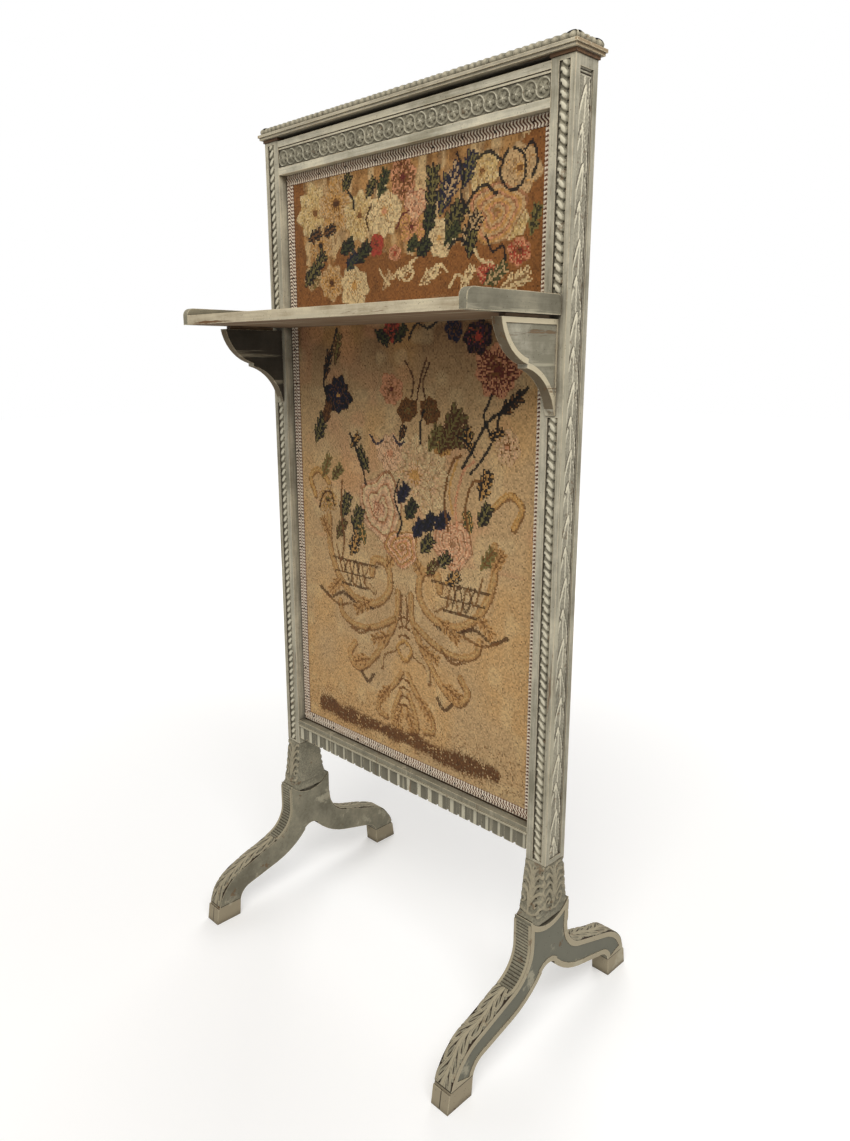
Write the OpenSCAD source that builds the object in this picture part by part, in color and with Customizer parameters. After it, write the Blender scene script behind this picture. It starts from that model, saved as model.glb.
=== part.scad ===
// Standing fire screen on two trestle feet. A needlework leaf slides up between two
// carved uprights, lifted by the cap that closes its top edge, and a small flap shelf
// lies on two ogee brackets in front. The origin is on the floor, midway between the
// feet. The front of the screen faces -Y, +X is to the right seen from behind the
// screen looking forward, and +Z is up.

/* [Overall] */
// Width over the outer faces of the two uprights
screen_w = 490; // [400:1:700]
// Height from the floor to the top of the uprights
screen_h = 1070; // [950:1:1300]
// Depth over the toes of a foot
foot_l = 350; // [330:1:420]
// How far the leaf can be raised
leaf_travel = 400; // [100:1:450]

/* [Uprights] */
// Width of an upright seen from the front
upright_w = 28.2; // [26:0.1:40]
// Depth of an upright from front to back
upright_d = 35.5; // [34:0.1:44]
// Height of the shoulder where an upright meets its carved block
block_top = 233.2; // [200:0.1:280]
// Width of the sunk channel for the carved strip on the front
strip_w = 12.6; // [8:0.1:14]
// Plain margin between the outer arris and the front strip
strip_margin = 6.2; // [4:0.1:8]
// Width of the sunk panel for the laurel strip on the outer side
laurel_w = 21; // [14:0.1:24]
// Depth of the channels that hold the carved strips
strip_sink = 2.6; // [1.5:0.1:4]
// Depth of the groove that guides the leaf
groove_deep = 7.5; // [5:0.1:9]

/* [Rails] */
// Height of the top rail
top_rail_h = 40.3; // [34:0.1:60]
// Thickness of the front top rail
top_rail_t = 9.5; // [8:0.1:10]
// Thickness of the back top rail
back_rail_t = 6.2; // [5:0.1:6.4]
// Underside of the fluted bottom rail, at the tips of its tongues
bottom_rail_z = 241; // [238:0.1:300]
// Height of the bottom rail
bottom_rail_h = 30.5; // [26:0.1:50]
// Width of a flute of the bottom rail
flute_size = 18; // [16:0.1:24]
// Width of a ring in the guilloche of the top rail
ring_size = 17.3; // [15:0.1:20]

/* [Leaf] */
// Thickness of the leaf's wooden frame
leaf_t = 14; // [12:0.1:14]
// Width of the leaf's stiles
stile_w = 40; // [34:0.1:60]
// Thickness of the needlework
needle_t = 1.2; // [0.8:0.1:1.5]
// Width of the woven gimp
gimp_w = 13; // [8:0.1:18]
// Thickness of the gimp
gimp_t = 1.2; // [0.8:0.1:1.5]

/* [Cap] */
// Overhang of the cap beyond the uprights at each end
cap_over_x = 5.7; // [3:0.1:12]
// Overhang of the cap beyond the uprights at front and back
cap_over_y = 7; // [3:0.1:12]
// Height of the cap's two flat bands
cap_band_h = 6.4; // [5:0.1:10]
// Height of the carved band above them
cap_crest_h = 8; // [5:0.1:12]
// Height of the necks between the uprights and the cap
neck_h = 3.4; // [2:0.1:8]

/* [Shelf] */
// Height of the shelf board's upper face
shelf_z = 850.3; // [760:0.1:900]
// Thickness of the shelf board
board_t = 11.2; // [10:0.1:14]
// Depth from the front of the uprights to the shelf's front edge
shelf_d = 138; // [100:1:170]
// Distance of a shelf rim's outer face from the outer face of its upright
shelf_inset = 6; // [2:0.1:9]
// Thickness of a shelf rim
rim_t = 10; // [8:0.1:14]
// How far the rims stand above the board
rim_rise = 8.6; // [8:0.1:12]

/* [Brackets] */
// Thickness of a bracket
bracket_t = 12.3; // [8:0.1:14]
// Reach of a bracket from the front of the upright
bracket_reach = 87.2; // [60:0.1:100]
// Height of a bracket
bracket_h = 94; // [80:0.1:120]
// Distance of the bracket's step from the upright
bracket_step = 47; // [34:0.1:54]
// Depth of the bracket's step below its top
bracket_step_drop = 43; // [36:0.1:54]
// Thickness of the packing strip between bracket and shelf
packing_t = 3.5; // [2.6:0.1:5]

/* [Feet] */
// Thickness of a foot
foot_w = 25; // [20:0.1:28]
// Height of the horns at the top of a foot
horn_z = 168; // [160:0.1:180]
// Width over the two horns
horn_w = 71.5; // [60:0.1:76]
// Length of a toe on the floor
toe_l = 39; // [30:0.1:50]
// Width of the border round the sunk side panel
foot_border = 6.5; // [4:0.1:8]

/* [Fits] */
// Gap on each side of a sliding or swinging piece
slide_gap = 0.3; // [0.2:0.05:0.6]
// Gap on each side of a glued tenon, dowel or inlaid strip
glue_gap = 0.1; // [0.05:0.01:0.2]
// Radial clearance of a pivot pin in its eye
pin_gap = 0.05; // [0.02:0.01:0.1]

/* [Hidden] */
$fn = 48;
e = 0.01;
arc_step = 7.5;

half_w = screen_w / 2;
inner_x = half_w - upright_w;
front_y = -upright_d / 2;
back_y = upright_d / 2;

// Channels and carved strips on the uprights
strip_x = half_w - strip_margin - strip_w / 2;
strip_top = screen_h - 4;
strip_foot = block_top + 3;
laurel_top = screen_h - 10;
laurel_foot = block_top + 6;

// Leaf and its guides
leaf_front = -4;
leaf_back = leaf_front + leaf_t;
needle_front = leaf_front - needle_t;
gimp_front = needle_front - gimp_t;
groove_front = leaf_front - slide_gap;
groove_back = leaf_back + slide_gap;
groove_x = inner_x + groove_deep;
spring_room = 2;
tongue_x = groove_x - spring_room;
cloth_x = inner_x - 0.5;
lip_y = gimp_front - 1;

// Top rails
top_rail_z = screen_h - 1.2 - top_rail_h;
top_rail_top = top_rail_z + top_rail_h;
tenon_l = 9.5;
back_rail_z = top_rail_top - 34;
band_z = top_rail_z + 8.6;
band_h = 21.4;
ring_count = round(2 * (inner_x - 2) / ring_size);
ring_pitch = 2 * (inner_x - 2) / ring_count;

// Bottom rail
rail_top = bottom_rail_z + bottom_rail_h;
seat_z = rail_top - 6.2;
flute_count = round(2 * inner_x / flute_size);
flute_pitch = 2 * inner_x / flute_count;
flute_rib = 3.4;
flute_top = bottom_rail_z + 20.5;

// Leaf heights
leaf_z = seat_z + slide_gap;
cap_z = screen_h + neck_h + slide_gap;
leaf_top = cap_z;
gimp_top_z = top_rail_z + 1;
gimp_foot_z = rail_top + 1;
stop_h = 14;
stop_x = inner_x - 12;
stop_top = back_rail_z - leaf_travel - slide_gap;
spring_l = 60;
spring_t = 0.6;
spring_bow = 1;

// Shelf and its pivots
shelf_under = shelf_z - board_t;
rim_top = shelf_z + rim_rise;
rim_in = half_w - shelf_inset - rim_t;
shelf_front = front_y - shelf_d;
shelf_back = front_y - slide_gap;
pivot_r = 6;
pivot_y = shelf_back - pivot_r;
pivot_z = rim_top - pivot_r;
pin_r = 2;
eye_r = 4.2;
eye_t = 4.2;
eye_x = rim_in - 0.4 - eye_t;
shank_r = 1.5;
shank_l = 10;
pin_in_rim = 7;
tongue_back = gimp_front - 1.2;

// Brackets
bracket_x = half_w - upright_w / 2 - 1;
bracket_top = shelf_under - packing_t - slide_gap;
bracket_border = 5.2;
bracket_sink = 0.9;
dowel_r = 3;
peg_r = 2.4;

// Feet and blocks
foot_x = half_w - upright_w / 2 - 1.4;
foot_sink = 0.8;
toe_z = 20;
half_foot = foot_l / 2;
half_horn = horn_w / 2;
saddle_r = 45;
saddle_c = horn_z + sqrt(saddle_r * saddle_r - half_horn * half_horn);
block_z = saddle_c - saddle_r;
post_w = 16;
post_d = 22;
post_foot = 118;

// Points along an arc, as [across, up]
function arc(c, r, a0, a1) =
    let (n = ceil(abs(a1 - a0) / arc_step))
    [for (i = [0 : n]) let (a = a0 + (a1 - a0) * i / n) [c.x + r * cos(a), c.y + r * sin(a)]];

// The same points on the other side of the upright's centre line, in reverse order
function flipped(points) = [for (i = [len(points) - 1 : -1 : 0]) [-points[i].x, points[i].y]];

// Centre of the arc of radius r from p to q, on the left of the way from p to q when side is 1
function centre(p, q, r, side) =
    let (d = q - p, l = norm(d)) (p + q) / 2 + side * sqrt(r * r - l * l / 4) * [-d.y, d.x] / l;

// Direction from c to p, in degrees
function bearing(c, p) = atan2(p.y - c.y, p.x - c.x);

// Extrudes a [y, z] outline along X, between x0 and x1
module along_x(x0, x1) {
    translate([x0, 0, 0]) rotate([90, 0, 90]) linear_extrude(x1 - x0) children();
}

// Extrudes an [x, z] outline along Y, between y0 and y1
module along_y(y0, y1) {
    translate([0, y1, 0]) rotate([90, 0, 0]) linear_extrude(y1 - y0) children();
}

// A box between two corners
module block(low, high) {
    translate(low) cube(high - low);
}

// A rod along X
module rod_x(x0, x1, y, z, r) {
    translate([x0, y, z]) rotate([0, 90, 0]) cylinder(h = x1 - x0, r = r);
}

// A rod along Y
module rod_y(x, y0, y1, z, r) {
    translate([x, y0, z]) rotate([-90, 0, 0]) cylinder(h = y1 - y0, r = r);
}

// Puts a piece made for the right side on the given side
module on_side(side) {
    if (side > 0) children();
    else mirror([1, 0, 0]) children();
}

// The sunk channels of the right upright, grown by gap on each side
module strip_space(z0, z1, gap) {
    block([strip_x - strip_w / 2 - gap, front_y - (gap > 0 ? 1 : 0), z0 - gap],
          [strip_x + strip_w / 2 + gap, front_y + strip_sink + gap / 2, z1 + gap]);
}

module laurel_space(gap) {
    block([half_w - strip_sink - gap / 2, -laurel_w / 2 - gap, laurel_foot - gap],
          [half_w + (gap > 0 ? 1 : 0), laurel_w / 2 + gap, laurel_top + gap]);
}

module post(gap) {
    block([foot_x - post_w / 2 - gap, -post_d / 2 - gap, post_foot - gap],
          [foot_x + post_w / 2 + gap, post_d / 2 + gap, block_top + e]);
}

// Uprights, right side
module upright() {
    difference() {
        union() {
            block([inner_x, front_y, block_top], [half_w, back_y, screen_h]);
            post(0);
        }
        strip_space(rim_top + 1, strip_top, glue_gap);
        strip_space(strip_foot, bracket_top - bracket_h - 2, glue_gap);
        laurel_space(glue_gap);
        block([inner_x - 1, groove_front, seat_z - 4], [groove_x, groove_back, screen_h + 1]);
        top_tenon(glue_gap);
        back_tenon(glue_gap);
        bottom_tenon(glue_gap);
        bracket_dowel_pair(glue_gap);
        rod_y(eye_x + eye_t / 2, front_y - 1, front_y + shank_l + glue_gap, pivot_z, shank_r + glue_gap);
        peg(bottom_peg_z, glue_gap);
        peg(back_peg_z, glue_gap);
    }
}

module left_upright() color("#848676") on_side(-1) upright();
module right_upright() color("#848676") on_side(1) upright();

// Tenons of the right ends of the rails, grown by gap
module top_tenon(gap) {
    block([inner_x - e, front_y + 4 - gap, top_rail_z + 5 - gap],
          [inner_x + tenon_l + gap, front_y + 8.5 + gap, top_rail_top - 6 + gap]);
}

module back_tenon(gap) {
    block([inner_x - e, back_y - back_rail_t + 1 - gap, back_rail_z + 4 - gap],
          [inner_x + tenon_l + gap, back_y - 1.4 + gap, top_rail_top - 6 + gap]);
}

module bottom_tenon(gap) {
    block([inner_x - e, -5 - gap, bottom_rail_z + 5 - gap],
          [inner_x + 14 + gap, 5 + gap, seat_z - 5 + gap]);
}

// Carved strips in their channels: a plain slip with a half-round body
module strip(z0, z1) {
    bed = strip_sink - 1.4;
    block([strip_x - strip_w / 2, front_y + strip_sink - bed, z0],
          [strip_x + strip_w / 2, front_y + strip_sink, z1]);
    intersection() {
        translate([strip_x, front_y + strip_sink + 3.2, z0]) cylinder(h = z1 - z0, r = 6.1);
        block([strip_x - strip_w / 2, front_y - 1, z0], [strip_x + strip_w / 2, front_y + strip_sink, z1]);
    }
}

module left_upper_strip() color("#b2ab8e") on_side(-1) strip(rim_top + 1, strip_top);
module right_upper_strip() color("#b2ab8e") on_side(1) strip(rim_top + 1, strip_top);
module left_lower_strip() color("#b2ab8e") on_side(-1) strip(strip_foot, bracket_top - bracket_h - 2);
module right_lower_strip() color("#b2ab8e") on_side(1) strip(strip_foot, bracket_top - bracket_h - 2);

// Laurel strip on the outer side: overlapping leaves, each a wedge with a pointed foot
module laurel_strip() {
    pitch = 34;
    count = floor((laurel_top - laurel_foot) / pitch);
    first = laurel_foot + (laurel_top - laurel_foot - count * pitch) / 2;
    bed = half_w - strip_sink + 1;
    block([half_w - strip_sink, -laurel_w / 2, laurel_foot], [bed, laurel_w / 2, laurel_top]);
    for (i = [0 : count - 1], s = [-1, 1])
        translate([bed - e, 0, first + i * pitch])
            along_x(0, 1.5)
                polygon([[s * 0.8, 3], [s * 8.5, 14], [s * 9.3, 24], [s * 5, pitch - 0.6], [s * 0.8, 20]]);
}

module left_laurel_strip() color("#8d8e7c") on_side(-1) laurel_strip();
module right_laurel_strip() color("#8d8e7c") on_side(1) laurel_strip();

// Block between upright and foot: a carved swelling over a plain root that fits the saddle
block_mid = 205;
function swell(half, top) = [
    [half - 3.5, horn_z], [half - 0.8, horn_z + 9], [half + 1.2, horn_z + 20], [half + 1.4, block_mid],
    [half + 0.4, block_mid + 13], [half - 1.6, block_top - 7], [top, block_top - 4], [top, block_top]];

module swelling(half, top) {
    outline = swell(half, top);
    polygon(concat(outline, flipped(outline)));
}

module carved_block() {
    difference() {
        union() {
            intersection() {
                translate([foot_x + 1.4, 0, 0]) along_y(-40, 40) swelling(upright_w / 2 + 2, upright_w / 2);
                along_x(foot_x - 30, foot_x + 30) swelling(upright_d / 2 + 6, upright_d / 2);
            }
            along_x(foot_x - foot_w / 2 + 1, foot_x + foot_w / 2 - 1) intersection() {
                translate([0, saddle_c]) circle(r = saddle_r - glue_gap);
                translate([-half_horn + 5, block_z - 5]) square([horn_w - 10, horn_z - block_z + 7]);
            }
        }
        post(glue_gap);
    }
}

module left_carved_block() color("#a39d82") on_side(-1) carved_block();
module right_carved_block() color("#a39d82") on_side(1) carved_block();

// Foot: two S-curved legs that spread from under the block. The curves are arcs, and b moves
// the whole outline inwards.
neck_c = [half_horn + 44, 132.6];
neck_r = 44;
knee_c = [half_foot - 66.2, 11];
knee_r = 62;
arch_c = [half_foot - toe_l - 24, toe_z];
arch_r = 22.4;
thigh_c = [94.9, 162.7];
thigh_r = 111.5;
fork_c = [0, 77];
fork_r = 18;

function leg_over(b, last) =
    concat(arc(neck_c, neck_r + b, 180, 250.5), arc(knee_c, knee_r - b, 70.5, last));
function leg_under(b, first) =
    concat(arc(arch_c, arch_r + b, first, 75), arc(thigh_c, thigh_r - b, 255, 222), arc(fork_c, fork_r + b, 42, 90));
function toe() = [[half_foot - 3.4, toe_z + 3], [half_foot, 0], [half_foot - toe_l, 0]];
function saddle(b) =
    let (h = half_horn - b, a = acos(h / (saddle_r + b)))
    arc([0, saddle_c], saddle_r + b, -180 + a, -a);

module foot_outline() {
    right = concat(leg_over(0, 11), toe(), leg_under(0, 0));
    polygon(concat(saddle(0), right, flipped(right)));
}

module foot_panel() {
    right = concat(leg_over(foot_border, 24), leg_under(foot_border, 14));
    polygon(concat(saddle(foot_border), right, flipped(right)));
}

module foot() {
    difference() {
        along_x(foot_x - foot_w / 2, foot_x + foot_w / 2) foot_outline();
        along_x(foot_x + foot_w / 2 - foot_sink, foot_x + foot_w) foot_panel();
        post(glue_gap);
    }
}

module left_foot() color("#85877a") on_side(-1) foot();
module right_foot() color("#85877a") on_side(1) foot();

// Front top rail: two flat fillets with a groove, and a sunk band for the guilloche
module rail_section() {
    b = front_y + top_rail_t;
    polygon([[front_y, top_rail_z], [b, top_rail_z], [b, top_rail_top], [front_y, top_rail_top],
             [front_y, top_rail_top - 7.2], [front_y + 1.2, top_rail_top - 7.2],
             [front_y + 1.2, top_rail_top - 8.4], [front_y + 0.4, top_rail_top - 8.4],
             [front_y + 0.4, band_z + band_h], [front_y + 2.6, band_z + band_h],
             [front_y + 2.6, band_z], [front_y, band_z]]);
}

module top_rail_front() color("#8f8f7c") {
    along_x(-inner_x, inner_x) rail_section();
    for (side = [-1, 1]) on_side(side) top_tenon(0);
}

// Guilloche: rings that touch along the band, each round a domed rosette
module guilloche_strip() color("#b6ae92") {
    r = ring_pitch / 2;
    face = front_y + 2.6 - 0.9;
    block([-inner_x + 1, face, band_z + glue_gap], [inner_x - 1, front_y + 2.6 - glue_gap, band_z + band_h - glue_gap]);
    for (i = [0 : ring_count - 1])
        translate([(i + 0.5 - ring_count / 2) * ring_pitch, face + e, band_z + band_h / 2]) rotate([90, 0, 0]) {
            difference() {
                cylinder(h = 1.2, r = r - 0.2);
                translate([0, 0, -e]) cylinder(h = 2, r = r - 1.9);
            }
            cylinder(h = 1, r = 2);
            for (k = [0 : 5]) rotate([0, 0, 60 * k]) translate([4, 0, 0]) cylinder(h = 0.7, r = 1.7);
        }
}

// Back top rail, which ties the uprights behind the leaf and stops its travel
module top_rail_back() color("#7f8272") difference() {
    union() {
        block([-inner_x, back_y - back_rail_t, back_rail_z], [inner_x, back_y, top_rail_top]);
        for (side = [-1, 1]) on_side(side) back_tenon(0);
    }
    for (side = [-1, 1]) on_side(side) peg(back_peg_z, glue_gap);
}

// Bottom rail: a fillet above a row of hollow flutes that end in rounded tongues
module bottom_rail() color("#85877a") {
    tip_r = 12;
    difference() {
        along_y(front_y + 0.5, back_y - 1.5) union() {
            translate([-inner_x, bottom_rail_z + 4.2]) square([2 * inner_x, bottom_rail_h - 4.2]);
            for (i = [0 : flute_count - 1])
                translate([(i + 0.5) * flute_pitch - inner_x, bottom_rail_z + tip_r])
                    intersection() {
                        circle(r = tip_r);
                        translate([flute_rib / 2 - flute_pitch / 2, -tip_r]) square([flute_pitch - flute_rib, tip_r]);
                    }
        }
        for (i = [0 : flute_count - 1])
            translate([(i + 0.5) * flute_pitch - inner_x, front_y - 7.4, bottom_rail_z - 1])
                cylinder(h = flute_top - bottom_rail_z + 1, r = 10.4);
        block([-inner_x - 1, lip_y, seat_z], [inner_x + 1, groove_back, rail_top + 1]);
    }
    block([-inner_x, front_y - 0.6, flute_top + 0.8], [inner_x, front_y + 0.5 + e, flute_top + 3.4]);
    for (side = [-1, 1]) on_side(side) difference() {
        bottom_tenon(0);
        peg(bottom_peg_z, glue_gap);
    }
}

// Pegs that lock the tenons, driven from the back
bottom_peg_z = (bottom_rail_z + 5 + seat_z - 5) / 2;
back_peg_z = (back_rail_z + 4 + top_rail_top - 6) / 2;

module peg(z, gap) {
    tip = z == bottom_peg_z ? -8 : back_y - back_rail_t;
    rod_y(inner_x + 5, tip - gap, back_y + (gap > 0 ? 1 : 0), z, peg_r + gap);
}

module rail_pegs() color("#8a7a5c") {
    for (side = [-1, 1], z = [bottom_peg_z, back_peg_z]) on_side(side) peg(z, 0);
}

// Bracket outline in [y, z]: an ovolo, a small step and a cavetto, moved inwards by b
bracket_nose = [front_y - bracket_reach, bracket_top];
bracket_waist = [front_y - bracket_step, bracket_top - bracket_step_drop];
bracket_tip = [front_y - 1.6, bracket_top - bracket_h];
ovolo_r = 55;
cavetto_r = 58;
ovolo_c = centre(bracket_nose, bracket_waist, ovolo_r, 1);
cavetto_c = centre(bracket_waist - [0, 3.8], bracket_tip, cavetto_r, -1);

module bracket_outline() {
    polygon(concat(
        [[front_y, bracket_top]],
        arc(ovolo_c, ovolo_r, bearing(ovolo_c, bracket_nose), bearing(ovolo_c, bracket_waist)),
        arc(cavetto_c, cavetto_r, bearing(cavetto_c, bracket_waist - [0, 3.8]), bearing(cavetto_c, bracket_tip)),
        [[front_y, bracket_tip.y]]));
}

module bracket_panel(b) {
    back = front_y - 2.5;
    top = bracket_top - b;
    start = -180 + asin((ovolo_c.y - top) / (ovolo_r - b));
    last = acos((back - cavetto_c.x) / (cavetto_r + b));
    polygon(concat(
        [[back, top]],
        arc(ovolo_c, ovolo_r - b, start, bearing(ovolo_c, bracket_waist)),
        arc(cavetto_c, cavetto_r + b, bearing(cavetto_c, bracket_waist - [0, 3.8]), last)));
}

module bracket() {
    x0 = bracket_x - bracket_t / 2;
    difference() {
        along_x(x0, x0 + bracket_t) bracket_outline();
        along_x(x0 + bracket_t - bracket_sink, x0 + bracket_t + 1) bracket_panel(bracket_border);
        bracket_dowel_pair(glue_gap);
    }
}

module left_bracket() color("#90917f") on_side(-1) bracket();
module right_bracket() color("#90917f") on_side(1) bracket();

// Dowels that carry a bracket on the upright
module bracket_dowel_pair(gap) {
    for (drop = [16, 44])
        rod_y(bracket_x, front_y - 9 - gap, front_y + 9 + gap, bracket_top - drop, dowel_r + gap);
}

module bracket_dowels() color("#8a7a5c") {
    for (side = [-1, 1]) on_side(side) bracket_dowel_pair(0);
}

// Leather packing on the brackets, on which the shelf lies
module packing_strips() color("#4a3b2c") {
    for (side = [-1, 1]) on_side(side)
        block([bracket_x - 4, front_y - bracket_reach + 8, bracket_top],
              [bracket_x + 4, pivot_y - pivot_r, shelf_under - slide_gap]);
}

// Screw eyes in the uprights that hold the shelf's pivot pins
module shelf_eyes() color("#5b5850") {
    for (side = [-1, 1]) on_side(side) difference() {
        union() {
            rod_x(eye_x, eye_x + eye_t, pivot_y, pivot_z, eye_r);
            rod_y(eye_x + eye_t / 2, pivot_y, front_y + shank_l, pivot_z, shank_r);
        }
        rod_x(eye_x - 1, eye_x + eye_t + 1, pivot_y, pivot_z, pin_r + pin_gap);
    }
}

// Pins fixed in the rims, on which the shelf swings
module shelf_pins() color("#6b675c") {
    for (side = [-1, 1]) on_side(side)
        rod_x(eye_x - 0.6, rim_in + pin_in_rim, pivot_y, pivot_z, pin_r);
}

// Shelf board, with a tongue that reaches between the uprights and notches for the eyes
module shelf_board() color("#b3ab8c") {
    difference() {
        union() {
            block([-rim_in, shelf_front, shelf_under], [rim_in, shelf_back, shelf_z]);
            block([-inner_x + 0.6, shelf_back - e, shelf_under], [inner_x - 0.6, tongue_back, shelf_z]);
        }
        for (side = [-1, 1]) on_side(side)
            block([eye_x - 1, pivot_y - eye_r - 0.6, pivot_z - eye_r - 0.6], [rim_in + 1, shelf_back + 1, shelf_z + 1]);
    }
}

// Side rim of the shelf, rounded at the front and about the pivot at the back
module rim() {
    nose_r = 9;
    difference() {
        along_x(rim_in, rim_in + rim_t)
            polygon(concat(
                [[shelf_front, shelf_under]],
                arc([shelf_front + nose_r, rim_top - nose_r], nose_r, 180, 90),
                arc([pivot_y, pivot_z], pivot_r, 90, 0),
                [[shelf_back, shelf_under]]));
        rod_x(rim_in - 1, rim_in + pin_in_rim, pivot_y, pivot_z, pin_r);
    }
}

module left_shelf_rim() color("#8c8d7b") on_side(-1) rim();
module right_shelf_rim() color("#8c8d7b") on_side(1) rim();

// Cap: a moulded board with returned ends, made as two crossed mouldings
cap_half_x = half_w + cap_over_x;
cap_half_y = back_y + cap_over_y;
band_top = cap_z + cap_band_h;
cap_top = band_top + cap_crest_h;

function cap_bands(h) = [
    [h - 1.6, cap_z], [h - 1.6, cap_z + cap_band_h * 0.45], [h, cap_z + cap_band_h * 0.45], [h, band_top - 0.5],
    [h - 0.8, band_top], [h - 13, band_top]];

module cap_section(h) {
    outline = cap_bands(h);
    polygon(concat(outline, flipped(outline)));
}

function crest(h) = concat([[h - 1.2, band_top]], arc([h - 7.2, band_top + cap_crest_h - 6.2], 6, -6, 92), [[h - 14, cap_top - 2]]);

module crest_section(h) {
    outline = crest(h);
    polygon(concat(outline, flipped(outline)));
}

module cap_dowel_set(gap) {
    for (x = [-150, 0, 150])
        translate([x, (leaf_front + leaf_back) / 2, cap_z - 12 - gap]) cylinder(h = 17 + 2 * gap, r = dowel_r + gap);
}

module cap() color("#a09d88") {
    difference() {
        union() {
            intersection() {
                along_x(-cap_half_x, cap_half_x) cap_section(cap_half_y);
                along_y(-cap_half_y, cap_half_y) cap_section(cap_half_x);
            }
            block([-cap_half_x + 14.2, -cap_half_y + 14.2, band_top - e], [cap_half_x - 14.2, cap_half_y - 14.2, cap_top - 2.2]);
        }
        cap_dowel_set(glue_gap);
    }
}

// Carved band round the cap's upper edge
module cap_carved_band() color("#b0a98f") {
    difference() {
        intersection() {
            along_x(-cap_half_x, cap_half_x) crest_section(cap_half_y);
            along_y(-cap_half_y, cap_half_y) crest_section(cap_half_x);
        }
        block([-cap_half_x + 14, -cap_half_y + 14, band_top - 1], [cap_half_x - 14, cap_half_y - 14, cap_top + 1]);
    }
}

// Necks under the cap that sit over the uprights
module cap_necks() color("#6a5238") {
    for (side = [-1, 1]) on_side(side) {
        difference() {
            block([inner_x - 1, front_y - 1.5, screen_h + slide_gap], [half_w + 1.5, back_y + 1.5, cap_z]);
            block([inner_x - 2, leaf_front - glue_gap, screen_h], [tongue_x + glue_gap, leaf_back + glue_gap, cap_z + 1]);
        }
    }
}

module cap_dowels() color("#8a7a5c") cap_dowel_set(0);

// Leaf frame: stiles that run in the grooves, and three tenoned rails
leaf_tenon_l = 24;

module leaf_tenon(z0, z1, gap) {
    block([tongue_x - stile_w - e, leaf_front + 4.5 - gap, z0 + 6 - gap],
          [tongue_x - stile_w + leaf_tenon_l + gap, leaf_back - 4.5 + gap, z1 - 6 + gap]);
}

leaf_rails = [[leaf_z, leaf_z + 46], [leaf_z + (leaf_top - leaf_z) * 0.46, leaf_z + (leaf_top - leaf_z) * 0.46 + 34],
              [leaf_top - 76, leaf_top]];

module stile() {
    difference() {
        block([tongue_x - stile_w, leaf_front, leaf_z], [tongue_x, leaf_back, leaf_top]);
        for (r = leaf_rails) leaf_tenon(r[0], r[1], glue_gap);
    }
}

module leaf_left_stile() color("#8d8468") on_side(-1) stile();
module leaf_right_stile() color("#8d8468") on_side(1) stile();

module leaf_rail(r, set_back) {
    half = tongue_x - stile_w;
    block([-half, leaf_front + set_back, r[0]], [half, leaf_back, r[1]]);
    for (side = [-1, 1]) on_side(side) leaf_tenon(r[0], r[1], 0);
}

module leaf_bottom_rail() color("#8d8468") leaf_rail(leaf_rails[0], 0);
module leaf_middle_rail() color("#8d8468") leaf_rail(leaf_rails[1], 2);
module leaf_top_rail() color("#8d8468") {
    difference() {
        leaf_rail(leaf_rails[2], 0);
        cap_dowel_set(glue_gap);
    }
}

// Needlework stretched over the front of the leaf, and plain cloth behind
module needlework() color("#a9845a") {
    block([-cloth_x, needle_front, gimp_foot_z], [cloth_x, leaf_front, gimp_top_z]);
}

module back_cloth() color("#8a7c62") {
    block([-stop_x + 2, leaf_back, leaf_z + 14], [stop_x - 2, leaf_back + 0.6, leaf_top - 50]);
}

// Gimp nailed round the needlework's edge
module gimp_top() color("#c3aa9d")
    block([-cloth_x, gimp_front, gimp_top_z - gimp_w], [cloth_x, needle_front, gimp_top_z]);
module gimp_bottom() color("#c3aa9d")
    block([-cloth_x, gimp_front, gimp_foot_z], [cloth_x, needle_front, gimp_foot_z + gimp_w]);

module gimp_side() {
    block([cloth_x - gimp_w, gimp_front, gimp_foot_z + gimp_w], [cloth_x, needle_front, gimp_top_z - gimp_w]);
}

module gimp_left() color("#c3aa9d") on_side(-1) gimp_side();
module gimp_right() color("#c3aa9d") on_side(1) gimp_side();

// Small blocks behind the leaf that meet the back top rail when it is fully raised
module leaf_stops() color("#7d6a4c") {
    for (side = [-1, 1]) on_side(side)
        block([stop_x, leaf_back, stop_top - stop_h], [inner_x - 0.6, back_y - 1.5, stop_top]);
}

// Bowed steel strips that rub in the grooves and hold the leaf where it is put
module friction_springs() color("#6e6d68") {
    bow_r = spring_l * spring_l / 8 / spring_bow;
    for (side = [-1, 1]) on_side(side)
        for (z = [leaf_z + 60, leaf_z + 330])
            intersection() {
                translate([tongue_x + spring_bow - bow_r, 0, z]) rotate([-90, 0, 0]) difference() {
                    cylinder(h = 8, r = bow_r + spring_t, $fn = 96);
                    translate([0, 0, -1]) cylinder(h = 10, r = bow_r, $fn = 96);
                }
                block([tongue_x + e, -1, z - spring_l / 2], [groove_x - 0.2, 9, z + spring_l / 2]);
            }
}

left_upright();
right_upright();
left_upper_strip();
right_upper_strip();
left_lower_strip();
right_lower_strip();
left_laurel_strip();
right_laurel_strip();
left_carved_block();
right_carved_block();
left_foot();
right_foot();
top_rail_front();
guilloche_strip();
top_rail_back();
bottom_rail();
rail_pegs();
left_bracket();
right_bracket();
bracket_dowels();
packing_strips();
shelf_eyes();
shelf_board();
left_shelf_rim();
right_shelf_rim();
shelf_pins();
cap();
cap_carved_band();
cap_necks();
cap_dowels();
leaf_left_stile();
leaf_right_stile();
leaf_top_rail();
leaf_middle_rail();
leaf_bottom_rail();
needlework();
back_cloth();
gimp_top();
gimp_bottom();
gimp_left();
gimp_right();
leaf_stops();
friction_springs();
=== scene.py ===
# The looks of a standing fire screen: worn paint, carving, needlework, gimp and old wood.
# Lengths inside the carving functions are in millimetres, as in the CAD source.
import math

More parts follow.
